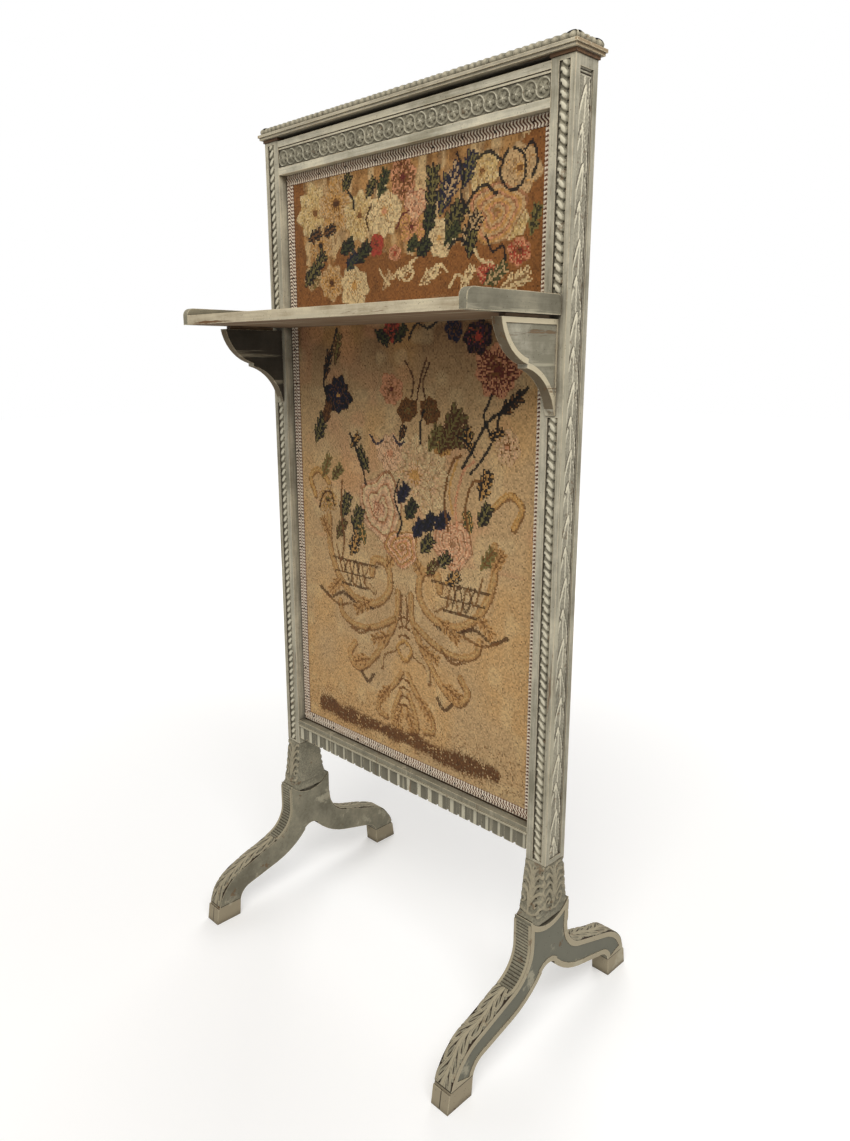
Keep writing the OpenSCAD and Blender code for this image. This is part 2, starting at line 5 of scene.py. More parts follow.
import bpy
import numpy as np
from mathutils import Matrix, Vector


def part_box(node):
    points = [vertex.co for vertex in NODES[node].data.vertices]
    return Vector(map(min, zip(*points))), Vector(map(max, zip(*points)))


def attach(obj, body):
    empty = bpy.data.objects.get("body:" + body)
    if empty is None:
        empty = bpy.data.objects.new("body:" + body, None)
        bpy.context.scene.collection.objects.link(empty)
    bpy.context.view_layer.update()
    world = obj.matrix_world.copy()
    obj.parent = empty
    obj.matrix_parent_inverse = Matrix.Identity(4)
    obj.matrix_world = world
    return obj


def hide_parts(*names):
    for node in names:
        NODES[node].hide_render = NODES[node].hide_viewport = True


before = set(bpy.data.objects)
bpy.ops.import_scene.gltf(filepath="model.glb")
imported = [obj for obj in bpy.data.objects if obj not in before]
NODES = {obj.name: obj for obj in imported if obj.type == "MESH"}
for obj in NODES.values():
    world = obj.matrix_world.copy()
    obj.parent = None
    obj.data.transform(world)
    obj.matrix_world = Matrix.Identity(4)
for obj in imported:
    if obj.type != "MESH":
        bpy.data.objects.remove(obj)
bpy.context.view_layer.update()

MM = 0.001


def box_mm(node):
    """Lowest and highest corner of a CAD node, in millimetres."""
    low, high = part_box(node)
    return np.array(low) / MM, np.array(high) / MM


def paint(red, green, blue):
    """A linear colour from sRGB values of 0 to 255."""
    values = np.array([red, green, blue]) / 255
    linear = np.where(values <= 0.04045, values / 12.92, ((values + 0.055) / 1.055) ** 2.4)
    return (*[float(v) for v in linear], 1.0)


GREY_LIGHT = paint(190, 182, 158)
CREAM = paint(214, 201, 170)
TAN = paint(166, 132, 92)
CHIP = paint(112, 84, 56)
# Dark brown for grime, and for painted shade in hollows, creases and holes.
GRIME_AND_SHADE = paint(46, 34, 22)
# Near black for painted shade in drilled holes, also used for small spots in old timber.
BLACK_HOLE = paint(14, 10, 7)

GRAIN_X = (0.05, 1, 1)
GRAIN_Y = (1, 0.05, 1)
GRAIN_Z = (1, 1, 0.05)


# Camera, stage and lights
CAMERA_PLACE = (0.762944, -0.732708, 0.794405)
CAMERA_TURN = (76.325, -0.045, 44.914)
CAMERA_LENS = 27.05
SENSOR = 36.0


def make_camera():
    data = bpy.data.cameras.new("camera")
    data.lens = CAMERA_LENS
    data.sensor_width = SENSOR
    camera = bpy.data.objects.new("camera", data)
    camera.location = CAMERA_PLACE
    camera.rotation_mode = "XYZ"
    camera.rotation_euler = [math.radians(angle) for angle in CAMERA_TURN]
    bpy.context.scene.collection.objects.link(camera)
    bpy.context.scene.camera = camera


def seen_directly(tree):
    """1 for a camera, glossy or transmission ray."""
    path = tree.nodes.new("ShaderNodeLightPath")
    total = path.outputs["Is Camera Ray"]
    for name in ("Is Glossy Ray", "Is Transmission Ray"):
        adder = tree.nodes.new("ShaderNodeMath")
        adder.operation = "ADD"
        adder.use_clamp = True
        tree.links.new(total, adder.inputs[0])
        tree.links.new(path.outputs[name], adder.inputs[1])
        total = adder.outputs[0]
    return total


def make_world(fill):
    world = bpy.data.worlds.new("studio")
    world.use_nodes = True
    bpy.context.scene.world = world
    tree = world.node_tree
    lit = tree.nodes["Background"]
    lit.inputs["Color"].default_value = (1.0, 0.985, 0.96, 1)
    lit.inputs["Strength"].default_value = fill
    white = tree.nodes.new("ShaderNodeBackground")
    white.inputs["Color"].default_value = (1, 1, 1, 1)
    mixer = tree.nodes.new("ShaderNodeMixShader")
    tree.links.new(seen_directly(tree), mixer.inputs["Fac"])
    tree.links.new(lit.outputs[0], mixer.inputs[1])
    tree.links.new(white.outputs[0], mixer.inputs[2])
    tree.links.new(mixer.outputs[0], tree.nodes["World Output"].inputs["Surface"])


def make_floor(half_side, glow_near, glow_far, near, far):
    """A white floor whose own glow is lower near the object, where its shadow falls."""
    mesh = bpy.data.meshes.new("floor")
    corners = [(half_side * x, half_side * y, 0) for x, y in ((-1, -1), (1, -1), (1, 1), (-1, 1))]
    mesh.from_pydata(corners, [], [(0, 1, 2, 3)])
    floor = bpy.data.objects.new("floor", mesh)
    bpy.context.scene.collection.objects.link(floor)
    material = bpy.data.materials.new("floor")
    material.use_nodes = True
    tree = material.node_tree
    shader = tree.nodes["Principled BSDF"]
    shader.inputs["Base Color"].default_value = (0.82, 0.82, 0.82, 1)
    shader.inputs["Roughness"].default_value = 0.95
    shader.inputs["Specular IOR Level"].default_value = 0.1
    shader.inputs["Emission Color"].default_value = (1, 1, 1, 1)
    place = tree.nodes.new("ShaderNodeTexCoord")
    reach = tree.nodes.new("ShaderNodeVectorMath")
    reach.operation = "LENGTH"
    tree.links.new(place.outputs["Object"], reach.inputs[0])
    glow = tree.nodes.new("ShaderNodeMapRange")
    glow.interpolation_type = "SMOOTHSTEP"
    limits = {"From Min": near, "From Max": far, "To Min": glow_near, "To Max": glow_far}
    for name, value in limits.items():
        glow.inputs[name].default_value = value
    tree.links.new(reach.outputs["Value"], glow.inputs["Value"])
    strength = tree.nodes.new("ShaderNodeMath")
    strength.operation = "MULTIPLY"
    tree.links.new(seen_directly(tree), strength.inputs[0])
    tree.links.new(glow.outputs[0], strength.inputs[1])
    tree.links.new(strength.outputs[0], shader.inputs["Emission Strength"])
    mesh.materials.append(material)


def make_lamp(name, place, target, size, power, colour):
    data = bpy.data.lights.new(name, "AREA")
    data.shape = "SQUARE"
    data.size = size
    data.energy = power
    data.color = colour
    lamp = bpy.data.objects.new(name, data)
    lamp.location = place
    from_target = lamp.location - type(lamp.location)(target)
    lamp.rotation_euler = from_target.to_track_quat("Z", "Y").to_euler()
    bpy.context.scene.collection.objects.link(lamp)


bpy.context.scene.view_settings.view_transform = "Standard"
make_camera()
make_world(fill=0.4)
make_floor(half_side=12, glow_near=0.25, glow_far=0.69, near=0.3, far=2.4)
make_lamp("key", (1.05, -1.5, 2.35), (0, 0, 0.85), 1.3, 35, (1.0, 0.98, 0.94))
make_lamp("side", (1.4, -0.45, 1.95), (0.24, 0, 0.95), 0.6, 9, (0.98, 0.99, 1.0))
make_lamp("back", (-1.1, 1.7, 2.1), (0, 0, 0.7), 1.3, 20, (1.0, 0.98, 0.95))


# Materials: node trees round one Principled shader, with lengths in metres
class Look:
    def __init__(self, name, roughness):
        self.material = bpy.data.materials.new(name)
        self.material.use_nodes = True
        self.tree = self.material.node_tree
        self.shader = self.tree.nodes["Principled BSDF"]
        self.shader.inputs["Roughness"].default_value = roughness
        self.place = self.tree.nodes.new("ShaderNodeTexCoord").outputs["Object"]

    def node(self, kind, inputs, output=0, **settings):
        made = self.tree.nodes.new(kind)
        for key, value in settings.items():
            setattr(made, key, value)
        for key, value in inputs.items():
            self.feed(made.inputs[key], value)
        return made.outputs[output]

    def feed(self, socket, value):
        if isinstance(value, bpy.types.NodeSocket):
            self.tree.links.new(value, socket)
        else:
            socket.default_value = value

    def noise(self, scale, detail=3, stretch=(1, 1, 1), rough=0.55, shift=0.0):
        place = self.node("ShaderNodeMapping",
                          {"Vector": self.place, "Scale": stretch, "Location": (shift,) * 3}, "Vector")
        return self.node("ShaderNodeTexNoise",
                         {"Vector": place, "Scale": scale, "Detail": detail, "Roughness": rough}, "Fac")

    def dots(self, scale, size, stretch=(1, 1, 1)):
        """Small spots, each in a random half of the cells of a grid of cells."""
        place = self.node("ShaderNodeMapping", {"Vector": self.place, "Scale": stretch}, "Vector")
        near = self.node("ShaderNodeTexVoronoi", {"Vector": place, "Scale": scale}, "Distance")
        chance = self.noise(scale * 0.3, 1, stretch, shift=3.0)
        return self.times(self.span(near, size, size * 0.5), self.span(chance, 0.5, 0.56))

    def span(self, value, low, high):
        return self.node("ShaderNodeMapRange", {"Value": value, "From Min": low, "From Max": high}, "Result",
                         interpolation_type="SMOOTHSTEP")

    def maths(self, operation, first, second=0.0):
        return self.node("ShaderNodeMath", {0: first, 1: second}, 0, operation=operation)

    def times(self, *values):
        total = values[0]
        for value in values[1:]:
            total = self.maths("MULTIPLY", total, value)
        return total

    def mix(self, factor, first, second, blend="MIX"):
        return self.node("ShaderNodeMix", {0: factor, 6: first, 7: second}, 2, data_type="RGBA",
                         blend_type=blend)

    def ramp(self, value, stops):
        made = self.tree.nodes.new("ShaderNodeValToRGB")
        elements = made.color_ramp.elements
        while len(elements) < len(stops):
            elements.new(0.5)
        for element, (place, colour) in zip(elements, stops):
            element.position = place
            element.color = colour
        self.feed(made.inputs["Fac"], value)
        return made.outputs["Color"]

    def attribute(self, name, output="Fac"):
        return self.node("ShaderNodeAttribute", {}, output, attribute_name=name)

    def axis(self, name):
        return self.node("ShaderNodeSeparateXYZ", {"Vector": self.place}, name)

    def facing(self, name):
        """One part of the normal in the piece's own frame, so that paint turns with its piece."""
        normal = self.node("ShaderNodeTexCoord", {}, "Normal")
        return self.node("ShaderNodeSeparateXYZ", {"Vector": normal}, name)

    def edges(self, radius):
        """Above 0 near an arris or a corner."""
        soft = self.node("ShaderNodeBevel", {"Radius": radius}, "Normal", samples=6)
        true = self.node("ShaderNodeNewGeometry", {}, "True Normal")
        along = self.node("ShaderNodeVectorMath", {0: soft, 1: true}, "Value", operation="DOT_PRODUCT")
        return self.maths("SUBTRACT", 1.0, along)

    def open_sky(self, reach):
        """1 in the open and less in a hollow."""
        return self.node("ShaderNodeAmbientOcclusion", {"Distance": reach}, "AO", samples=6)

    def finish(self, colour, height, depth, strength=0.6, round_edge=0.0005):
        self.feed(self.shader.inputs["Base Color"], colour)
        inputs = {"Height": height, "Distance": depth, "Strength": strength}
        if round_edge:
            inputs["Normal"] = self.node("ShaderNodeBevel", {"Radius": round_edge}, "Normal", samples=4)
        self.feed(self.shader.inputs["Normal"], self.node("ShaderNodeBump", inputs, "Normal"))
        return self.material


def weathered(look, colour, grain, wear, grime_and_shade, chips):
    """Lays chips, rubbed arrises, grime with painted shade in the hollows and specks over a coat of paint.
    """
    chipped = look.span(look.noise(75, 8, grain, rough=0.68, shift=1.0), 0.62, 0.645)
    rubbed = look.span(look.noise(55, 7, grain, rough=0.66, shift=5.0), 0.57, 0.64)
    colour = look.mix(look.times(rubbed, 0.55), colour, GREY_LIGHT)
    colour = look.mix(look.times(chipped, chips), colour, CHIP)
    sky = look.open_sky(0.012)
    worn = look.times(look.span(look.edges(0.0016), 0.015, 0.12),
                      look.span(look.noise(110, 6, rough=0.7), 0.34, 0.52), look.span(sky, 0.4, 0.7), wear)
    colour = look.mix(worn, colour, CREAM)
    bare = look.times(look.span(look.edges(0.0008), 0.05, 0.2),
                      look.span(look.noise(45, 5, shift=9.0), 0.56, 0.62), wear)
    colour = look.mix(bare, colour, TAN)
    # Grime together with painted shade darkens the hollows.
    colour = look.mix(look.times(look.span(sky, 0.95, 0.25), grime_and_shade), colour, GRIME_AND_SHADE)
    specks = look.times(look.dots(260, 0.2), 0.5)
    return look.mix(specks, colour, GRIME_AND_SHADE), chipped


def painted(name, tones, grain, streaky=0.35, wear=0.8, grime_and_shade=0.75, chips=0.7, zones=()):
    """Chalky paint. A zone is (mask function, colour): the mask takes the look and gives 0 to 1."""
    look = Look(name, 0.85)
    look.shader.inputs["Specular IOR Level"].default_value = 0.3
    patches = look.noise(14, 6, rough=0.66)
    streaks = look.noise(420, 4, grain, rough=0.6)
    wash = look.maths("ADD", look.times(patches, 1 - streaky), look.times(streaks, streaky))
    colour = look.ramp(wash, [(0.38, tones[0]), (0.5, tones[1]), (0.62, tones[2])])
    grit = look.span(look.noise(760, 3, rough=0.7), 0.54, 0.68)
    colour = look.mix(look.times(grit, 0.4), colour, tones[0])
    for mask, zone_colour in zones:
        ragged = look.maths("ADD", mask(look), look.times(look.noise(140, 5), 0.35))
        colour = look.mix(look.times(look.span(ragged, 0.62, 0.72), 0.88), colour, zone_colour)
    colour, chipped = weathered(look, colour, grain, wear, grime_and_shade, chips)
    # Painted shade in creases and tight hollows.
    crease_shade = look.span(look.open_sky(0.0028), 0.72, 0.35)
    colour = look.mix(look.times(crease_shade, 0.75), colour, GRIME_AND_SHADE)
    height = look.maths("SUBTRACT", look.times(streaks, 0.5), look.times(chipped, 0.8))
    return look.finish(colour, height, 0.0005)


def carved(name, tones, high=CREAM, hole=BLACK_HOLE):
    """Paint over carving, with the marks that the carving functions give: worn, and a mark for painted shade
    in holes and hollows.
    """
    look = Look(name, 0.8)
    look.shader.inputs["Specular IOR Level"].default_value = 0.3
    patches = look.noise(24, 5, rough=0.6)
    fine = look.noise(420, 4, rough=0.6)
    wash = look.maths("ADD", look.times(patches, 0.5), look.times(fine, 0.5))
    colour = look.ramp(wash, [(0.4, tones[0]), (0.5, tones[1]), (0.6, tones[2])])
    rough_wear = look.maths("ADD", look.attribute("worn"), look.times(look.noise(130, 5), 0.7))
    colour = look.mix(look.times(look.span(rough_wear, 0.62, 1.1), 0.9), colour, high)
    chipped = look.span(look.noise(85, 7, rough=0.66, shift=2.0), 0.61, 0.64)
    colour = look.mix(look.times(chipped, 0.55), colour, CHIP)
    # Painted shade in the hollows, and near black in the holes and hollows of the carving: painted shade.
    sky = look.open_sky(0.005)
    colour = look.mix(look.times(look.span(sky, 0.85, 0.2), 0.85), colour, GRIME_AND_SHADE)
    colour = look.mix(look.span(look.attribute("deep_shade"), 0.25, 0.75), colour, hole)
    return look.finish(colour, look.maths("SUBTRACT", fine, chipped), 0.0004, round_edge=0)


def timber(name, tones, grain):
    """Unpainted old wood."""
    look = Look(name, 0.72)
    streaks = look.noise(190, 6, grain, rough=0.62)
    rings = look.noise(60, 3, grain, shift=4.0)
    wash = look.maths("ADD", look.times(streaks, 0.6), look.times(rings, 0.4))
    colour = look.ramp(wash, [(0.38, tones[0]), (0.5, tones[1]), (0.62, tones[2])])
    pores = look.span(look.noise(1400, 2, grain), 0.62, 0.7)
    colour = look.mix(look.times(pores, 0.6), colour, GRIME_AND_SHADE)
    # Grime with painted shade in the hollows.
    colour = look.mix(look.times(look.span(look.open_sky(0.015), 0.95, 0.3), 0.7), colour, GRIME_AND_SHADE)
    colour = look.mix(look.times(look.dots(120, 0.16), 0.7), colour, BLACK_HOLE)
    return look.finish(colour, look.maths("SUBTRACT", streaks, pores), 0.0005)


def metal(name, colour, rust, roughness):
    look = Look(name, roughness)
    look.shader.inputs["Metallic"].default_value = 0.9
    spots = look.noise(260, 6, rough=0.65)
    base = look.mix(look.span(spots, 0.5, 0.62), colour, rust)
    return look.finish(base, spots, 0.0002)


def hide(name, colour):
    look = Look(name, 0.7)
    grain = look.node("ShaderNodeTexVoronoi", {"Vector": look.place, "Scale": 900.0}, "Distance")
    base = look.mix(look.times(look.noise(80, 5), 0.6), colour, TAN)
    return look.finish(base, grain, 0.0002)


WAVE_SPAN = math.pi / 10


def woven(name, attribute_name, fallback, sheen, thread):
    """Wool or linen: the colour comes with the mesh, the threads from two crossed waves."""
    look = Look(name, 0.95)
    look.shader.inputs["Sheen Weight"].default_value = sheen
    look.shader.inputs["Sheen Roughness"].default_value = 0.6
    look.shader.inputs["Specular IOR Level"].default_value = 0.15
    if attribute_name:
        base = look.attribute(attribute_name, "Color")
    else:
        stains = look.times(look.span(look.noise(5, 6, rough=0.62), 0.44, 0.62), 0.5)
        base = look.mix(stains, fallback, CHIP)
    settings = {"Vector": look.place, "Scale": WAVE_SPAN / thread, "Distortion": 1.2, "Detail": 2.0}
    waves = [look.node("ShaderNodeTexWave", settings, "Fac", bands_direction=axis) for axis in ("X", "Z")]
    weave = look.times(waves[0], waves[1])
    fibre = look.noise(1600, 3, rough=0.7)
    shade = look.maths("ADD", look.times(weave, 0.3), look.times(fibre, 0.35))
    dark = look.mix(0.5, base, (0.0, 0.0, 0.0, 1.0))
    colour = look.mix(look.times(look.span(shade, 0.4, 0.1), 0.5), base, dark)
    return look.finish(colour, look.maths("ADD", weave, fibre), 0.0004, round_edge=0)


def braid(name):
    look = Look(name, 0.85)
    look.shader.inputs["Sheen Weight"].default_value = 0.15
    look.shader.inputs["Specular IOR Level"].default_value = 0.2
    tone = look.noise(30, 4)
    band = look.ramp(tone, [(0.4, paint(90, 54, 42)), (0.6, paint(130, 86, 68))])
    thread = look.ramp(look.noise(500, 3), [(0.35, paint(204, 184, 158)), (0.65, paint(248, 238, 218))])
    colour = look.mix(look.attribute("worn"), band, thread)
    # Painted shade in the hollows, and the band between the cords painted darker as painted shade.
    colour = look.mix(look.times(look.span(look.open_sky(0.003), 0.75, 0.2), 0.8), colour, GRIME_AND_SHADE)
    colour = look.mix(look.attribute("deep_shade"), colour, paint(58, 38, 28))
    return look.finish(colour, look.noise(1500, 2), 0.0003, round_edge=0)


def past(axis, limit_mm):
    """A zone further than limit_mm from the middle of the screen, on either side."""
    return lambda look: look.span(look.maths("ABSOLUTE", look.axis(axis)), (limit_mm - 0.2) * MM,
                                  (limit_mm + 0.2) * MM)


def within(axis, limit_mm):
    return lambda look: look.span(look.maths("ABSOLUTE", look.axis(axis)), (limit_mm + 0.2) * MM,
                                  (limit_mm - 0.2) * MM)


def where_all(*masks):
    return lambda look: look.times(*[mask(look) for mask in masks])


def under_side(look):
    return look.span(look.facing("Z"), -0.6, -0.8)


def sloping_down(look):
    return look.span(look.facing("Z"), -0.15, -0.3)


FLUTES = 24
FLUTE_TOP = 261.5
RIB_HALF = 2.3
RAIL_HALF = NODES["bottom_rail"].dimensions.x / 2


def on_rib(look):
    """The narrow ribs between the flutes of the bottom rail."""
    pitch = 2 * RAIL_HALF / FLUTES
    turn = look.maths("FRACT", look.maths("DIVIDE", look.maths("ADD", look.axis("X"), RAIL_HALF), pitch))
    from_middle = look.maths("ABSOLUTE", look.maths("SUBTRACT", turn, 0.5))
    edge = 0.5 - RIB_HALF * MM / pitch
    return look.span(from_middle, edge - 0.02, edge + 0.02)


def between_ribs(look):
    return look.maths("SUBTRACT", 1.0, on_rib(look))


TONES = (paint(130, 125, 107), paint(166, 160, 142), paint(200, 192, 168))
TONES_LOW = (paint(110, 105, 89), paint(131, 126, 108), paint(152, 145, 124))
RAIL_TONES = (paint(146, 140, 120), paint(184, 178, 159), paint(212, 204, 180))
LAUREL_TONES = (paint(130, 125, 108), paint(154, 148, 131), paint(176, 169, 148))
BOARD_TONES = (paint(160, 145, 118), paint(190, 178, 152), paint(210, 198, 168))
CAP_TONES = (paint(136, 128, 108), paint(170, 162, 142), paint(198, 189, 164))
WOOD_TONES = (paint(92, 66, 42), paint(128, 97, 64), paint(154, 121, 84))
INCISED = paint(52, 42, 30)
PANEL = paint(112, 111, 98)
FOOT_MIDDLE = 229.5
TOE_LINE = 25.4
LOOKS = {
    "upright": painted("upright_paint", TONES, GRAIN_Z),
    "rail": painted("rail_paint", RAIL_TONES, GRAIN_X),
    # Bottom rail: the ribs painted lighter as painted highlight, the flutes darker as painted shade, and a
    # lighter grey fillet and bead above them.
    "low_rail": painted("low_rail_paint", TONES_LOW, GRAIN_Z, zones=[
        (where_all(on_rib, within("Z", FLUTE_TOP)), paint(196, 190, 168)),
        (where_all(between_ribs, within("Z", FLUTE_TOP - 0.8)), paint(112, 108, 94)),
        (where_all(past("Z", FLUTE_TOP + 0.8), within("Z", 266)), paint(170, 163, 141))]),
    "foot": painted("foot_paint", TONES_LOW, (1, 0.4, 0.4), streaky=0.2, zones=[
        (past("X", 241.6), paint(178, 166, 140)), (where_all(past("X", 240.8), within("X", 241.4)), PANEL),
        (where_all(past("Y", 133), within("Z", TOE_LINE)), paint(158, 146, 122)),
        (where_all(past("Y", 133), past("Z", TOE_LINE - 0.6), within("Z", TOE_LINE + 0.6)), INCISED),
        (where_all(past("Y", 170), past("X", FOOT_MIDDLE - 0.7), within("X", FOOT_MIDDLE + 0.7)), INCISED)]),
    # Brackets: a cream outer border; down-facing faces dark brown, painted shade under them; inner faces
    # near black, bare dark wood darkened further with painted shade.
    "bracket": painted("bracket_paint", TONES, GRAIN_Y, streaky=0.15, zones=[
        (past("X", 235.7), paint(206, 193, 163)), (sloping_down, paint(96, 82, 60)),
        (within("X", 224), paint(24, 18, 12))]),
    "rim": painted("rim_paint", TONES_LOW, GRAIN_Y, streaky=0.2, wear=1.0),
    "board": painted("board_paint", BOARD_TONES, GRAIN_X, chips=1.0, zones=[
        (under_side, paint(104, 78, 52))]),
    "cap": painted("cap_paint", CAP_TONES, GRAIN_X, wear=1.0, chips=0.9, zones=[
        (past("X", 248), paint(156, 134, 104))]),
    "laurel": carved("laurel_paint", LAUREL_TONES, paint(222, 214, 190), GRIME_AND_SHADE),
    "block": carved("block_paint", TONES_LOW, paint(168, 157, 132), GRIME_AND_SHADE),
    "edge": carved("edge_paint", TONES_LOW, paint(180, 171, 148), GRIME_AND_SHADE),
    "ribbon": carved("ribbon_paint", TONES_LOW, paint(212, 205, 182)),
    "timber": timber("old_timber", WOOD_TONES, GRAIN_Z),
    "timber_x": timber("old_timber_across", WOOD_TONES, GRAIN_X),
    "neck": timber("rubbed_timber", (paint(78, 54, 34), paint(118, 86, 56), paint(150, 116, 80)), GRAIN_X),
    "iron": metal("dull_iron", paint(60, 56, 52), paint(86, 56, 38), 0.6),
    "steel": metal("spring_steel", paint(150, 146, 138), paint(110, 84, 62), 0.45),
    "leather": hide("old_leather", paint(48, 36, 26)),
    "wool": woven("needlework_wool", "wool", None, 0.05, 0.0009),
    "linen": woven("lining_linen", None, paint(168, 148, 114), 0.05, 0.0011),
    "gimp": braid("woven_gimp"),
}

DRESS = {
    "upright": ["left_upright", "right_upright"],
    "rail": ["top_rail_front", "leaf_top_rail"],
    "low_rail": ["bottom_rail"],
    "foot": ["left_foot", "right_foot"],
    "bracket": ["left_bracket", "right_bracket"],
    "rim": ["left_shelf_rim", "right_shelf_rim"],
    "board": ["shelf_board"],
    "cap": ["cap", "cap_carved_band"],
    "ribbon": ["left_upper_strip", "right_upper_strip", "left_lower_strip", "right_lower_strip",
               "guilloche_strip"],
    "laurel": ["left_laurel_strip", "right_laurel_strip"],
    "block": ["left_carved_block", "right_carved_block"],
    "timber": ["leaf_left_stile", "leaf_right_stile", "leaf_stops", "rail_pegs", "bracket_dowels",
               "cap_dowels"],
    "timber_x": ["top_rail_back", "leaf_middle_rail", "leaf_bottom_rail"],
    "neck": ["cap_necks"],
    "iron": ["shelf_eyes", "shelf_pins"],
    "steel": ["friction_springs"],
    "leather": ["packing_strips"],
    "wool": ["needlework"],
    "linen": ["back_cloth"],
    "gimp": ["gimp_top", "gimp_bottom", "gimp_left", "gimp_right"],
}
for look_name, members in DRESS.items():
    for member in members:
        NODES[member].data.materials.clear()
        NODES[member].data.materials.append(LOOKS[look_name])


# Meshes
def make_piece(name, points, faces, look, body, marks=None, replaced=(), sharp=55):
    """A piece of the object from points in millimetres. marks are numbers for each point."""
    mesh = bpy.data.meshes.new(name)
    mesh.from_pydata((np.asarray(points) * MM).tolist(), [], faces)
    for mark, values in (marks or {}).items():
        layer = mesh.attributes.new(mark, "FLOAT", "POINT")
        layer.data.foreach_set("value", np.asarray(values, np.float32).ravel())
    mesh.polygons.foreach_set("use_smooth", [True] * len(mesh.polygons))
    mesh.set_sharp_from_angle(angle=math.radians(sharp))
    mesh.materials.append(LOOKS[look])
    piece = bpy.data.objects.new(name, mesh)
    bpy.context.scene.collection.objects.link(piece)
    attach(piece, body)
    if replaced:
        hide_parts(*replaced)
    return piece


def as_faces(*corners):
    return np.stack([c.ravel() for c in corners], 1).tolist()


def slab(name, us, vs, height, place, base, look, body, marks=None, replaced=(), sharp=55):
    """A closed piece: heights over a grid, straight sides and a flat back at height base."""
    across, along = np.meshgrid(us, vs, indexing="ij")
    front = np.stack(place(across, along, height), -1)
    back_across, back_along = np.meshgrid(us[[0, -1]], vs, indexing="ij")
    back = np.stack(place(back_across, back_along, np.full(back_across.shape, base)), -1)
    face = np.arange(front[..., 0].size).reshape(height.shape)
    rear = face.size + np.arange(back[..., 0].size).reshape(2, -1)
    faces = as_faces(face[:-1, :-1], face[1:, :-1], face[1:, 1:], face[:-1, 1:])
    faces += as_faces(face[0, :-1], face[0, 1:], rear[0, 1:], rear[0, :-1])
    faces += as_faces(face[-1, 1:], face[-1, :-1], rear[1, :-1], rear[1, 1:])
    faces += as_faces(rear[0, :-1], rear[0, 1:], rear[1, 1:], rear[1, :-1])
    faces.append([*face[::-1, 0].tolist(), int(rear[0, 0]), int(rear[1, 0])])
    faces.append([*face[:, -1].tolist(), int(rear[1, -1]), int(rear[0, -1])])
    outward = np.cross(front[1, 0] - front[0, 0], front[0, 1] - front[0, 0])
    if outward @ (front[0, 0] - back[0, 0]) < 0:
        faces = [list(reversed(f)) for f in faces]
    points = np.concatenate([front.reshape(-1, 3), back.reshape(-1, 3)])
    padded_marks = {m: np.concatenate([v.ravel(), np.zeros(rear.size)]) for m, v in (marks or {}).items()}
    return make_piece(name, points, faces, look, body, padded_marks, replaced, sharp)


def ring_solid(name, points, closed_profile, look, body, marks=None, replaced=(), sharp=55):
    """A closed piece from a grid of points that wraps round its first index."""
    index = np.arange(points[..., 0].size).reshape(points.shape[:2])
    around = np.concatenate([index, index[:1]])
    if closed_profile:
        around = np.concatenate([around, around[:, :1]], 1)
    faces = as_faces(around[:-1, :-1], around[1:, :-1], around[1:, 1:], around[:-1, 1:])
    if not closed_profile:
        faces.append(index[::-1, 0].tolist())
        faces.append(index[:, -1].tolist())
    middle = points.reshape(-1, 3).mean(0)
    normal = np.cross(points[1, 0] - points[0, 0], points[0, 1] - points[0, 0])
    if normal @ (points[0, 0] - middle) < 0:
        faces = [list(reversed(f)) for f in faces]
    return make_piece(name, points.reshape(-1, 3), faces, look, body, marks, replaced, sharp)


def steps(low, high, step):
    return np.linspace(low, high, max(2, round((high - low) / step) + 1))


def dome(distance, radius):
    return np.sqrt(np.clip(1 - (distance / radius) ** 2, 0, 1))


def pit(across, along, wide, tall):
    """1 at the bottom of a drilled hole, falling to 0 at its rim."""
    return np.clip(1.6 - 1.6 * np.hypot(across / wide, along / tall), 0, 1)


def smooth_line(points, parts=8):
    """A smooth line through the points."""
    p = np.array(points, float)
    ends = np.vstack([2 * p[0] - p[1], p, 2 * p[-1] - p[-2]])
    line = []
    for a, b, c, d in zip(ends[:-3], ends[1:-2], ends[2:-1], ends[3:]):
        for t in np.linspace(0, 1, parts, endpoint=False):
            cubic = t * (3 * (b - c) + d - a)
            line.append(b + 0.5 * t * (c - a + t * (2 * a - 5 * b + 4 * c - d + cubic)))
    return np.array(line + [p[-1]])


def distance(x, z, line):
    """How far each place is from a line of points."""
    near = np.full(np.broadcast(x, z).shape, np.inf)
    for a, b in zip(line[:-1], line[1:]):
        d = b - a
        t = np.clip(((x - a[0]) * d[0] + (z - a[1]) * d[1]) / max(d @ d, 1e-9), 0, 1)
        near = np.minimum(near, np.hypot(x - a[0] - t * d[0], z - a[1] - t * d[1]))
    return near


def rounded_loop(half_x, half_y, corner, step):
    """Even points round a rectangle with round corners, and their directions inwards."""
    route = []
    for sx, sy, first in ((1, 1, 0), (-1, 1, 90), (-1, -1, 180), (1, -1, 270)):
        centre = np.array([sx * (half_x - corner), sy * (half_y - corner)])
        for angle in np.radians(np.linspace(first, first + 90, 7)):
            route.append(centre + corner * np.array([math.cos(angle), math.sin(angle)]))
    loop = np.array(route + route[:1])
    stations = np.concatenate([[0], np.cumsum(np.linalg.norm(np.diff(loop, axis=0), axis=1))])
    places = np.linspace(0, stations[-1], round(stations[-1] / step) + 1)[:-1]
    flat = np.stack([np.interp(places, stations, loop[:, k]) for k in (0, 1)], 1)
    ahead = np.roll(flat, -1, 0) - np.roll(flat, 1, 0)
    ahead /= np.linalg.norm(ahead, axis=1)[:, None]
    return flat, np.stack([-ahead[:, 1], ahead[:, 0]], 1), places / stations[-1]


rng = np.random.default_rng(1785)

# Twisted ribbon strips in the front channels
RIBBON_PITCH = 9.6
STRIP_HALF = 6.3


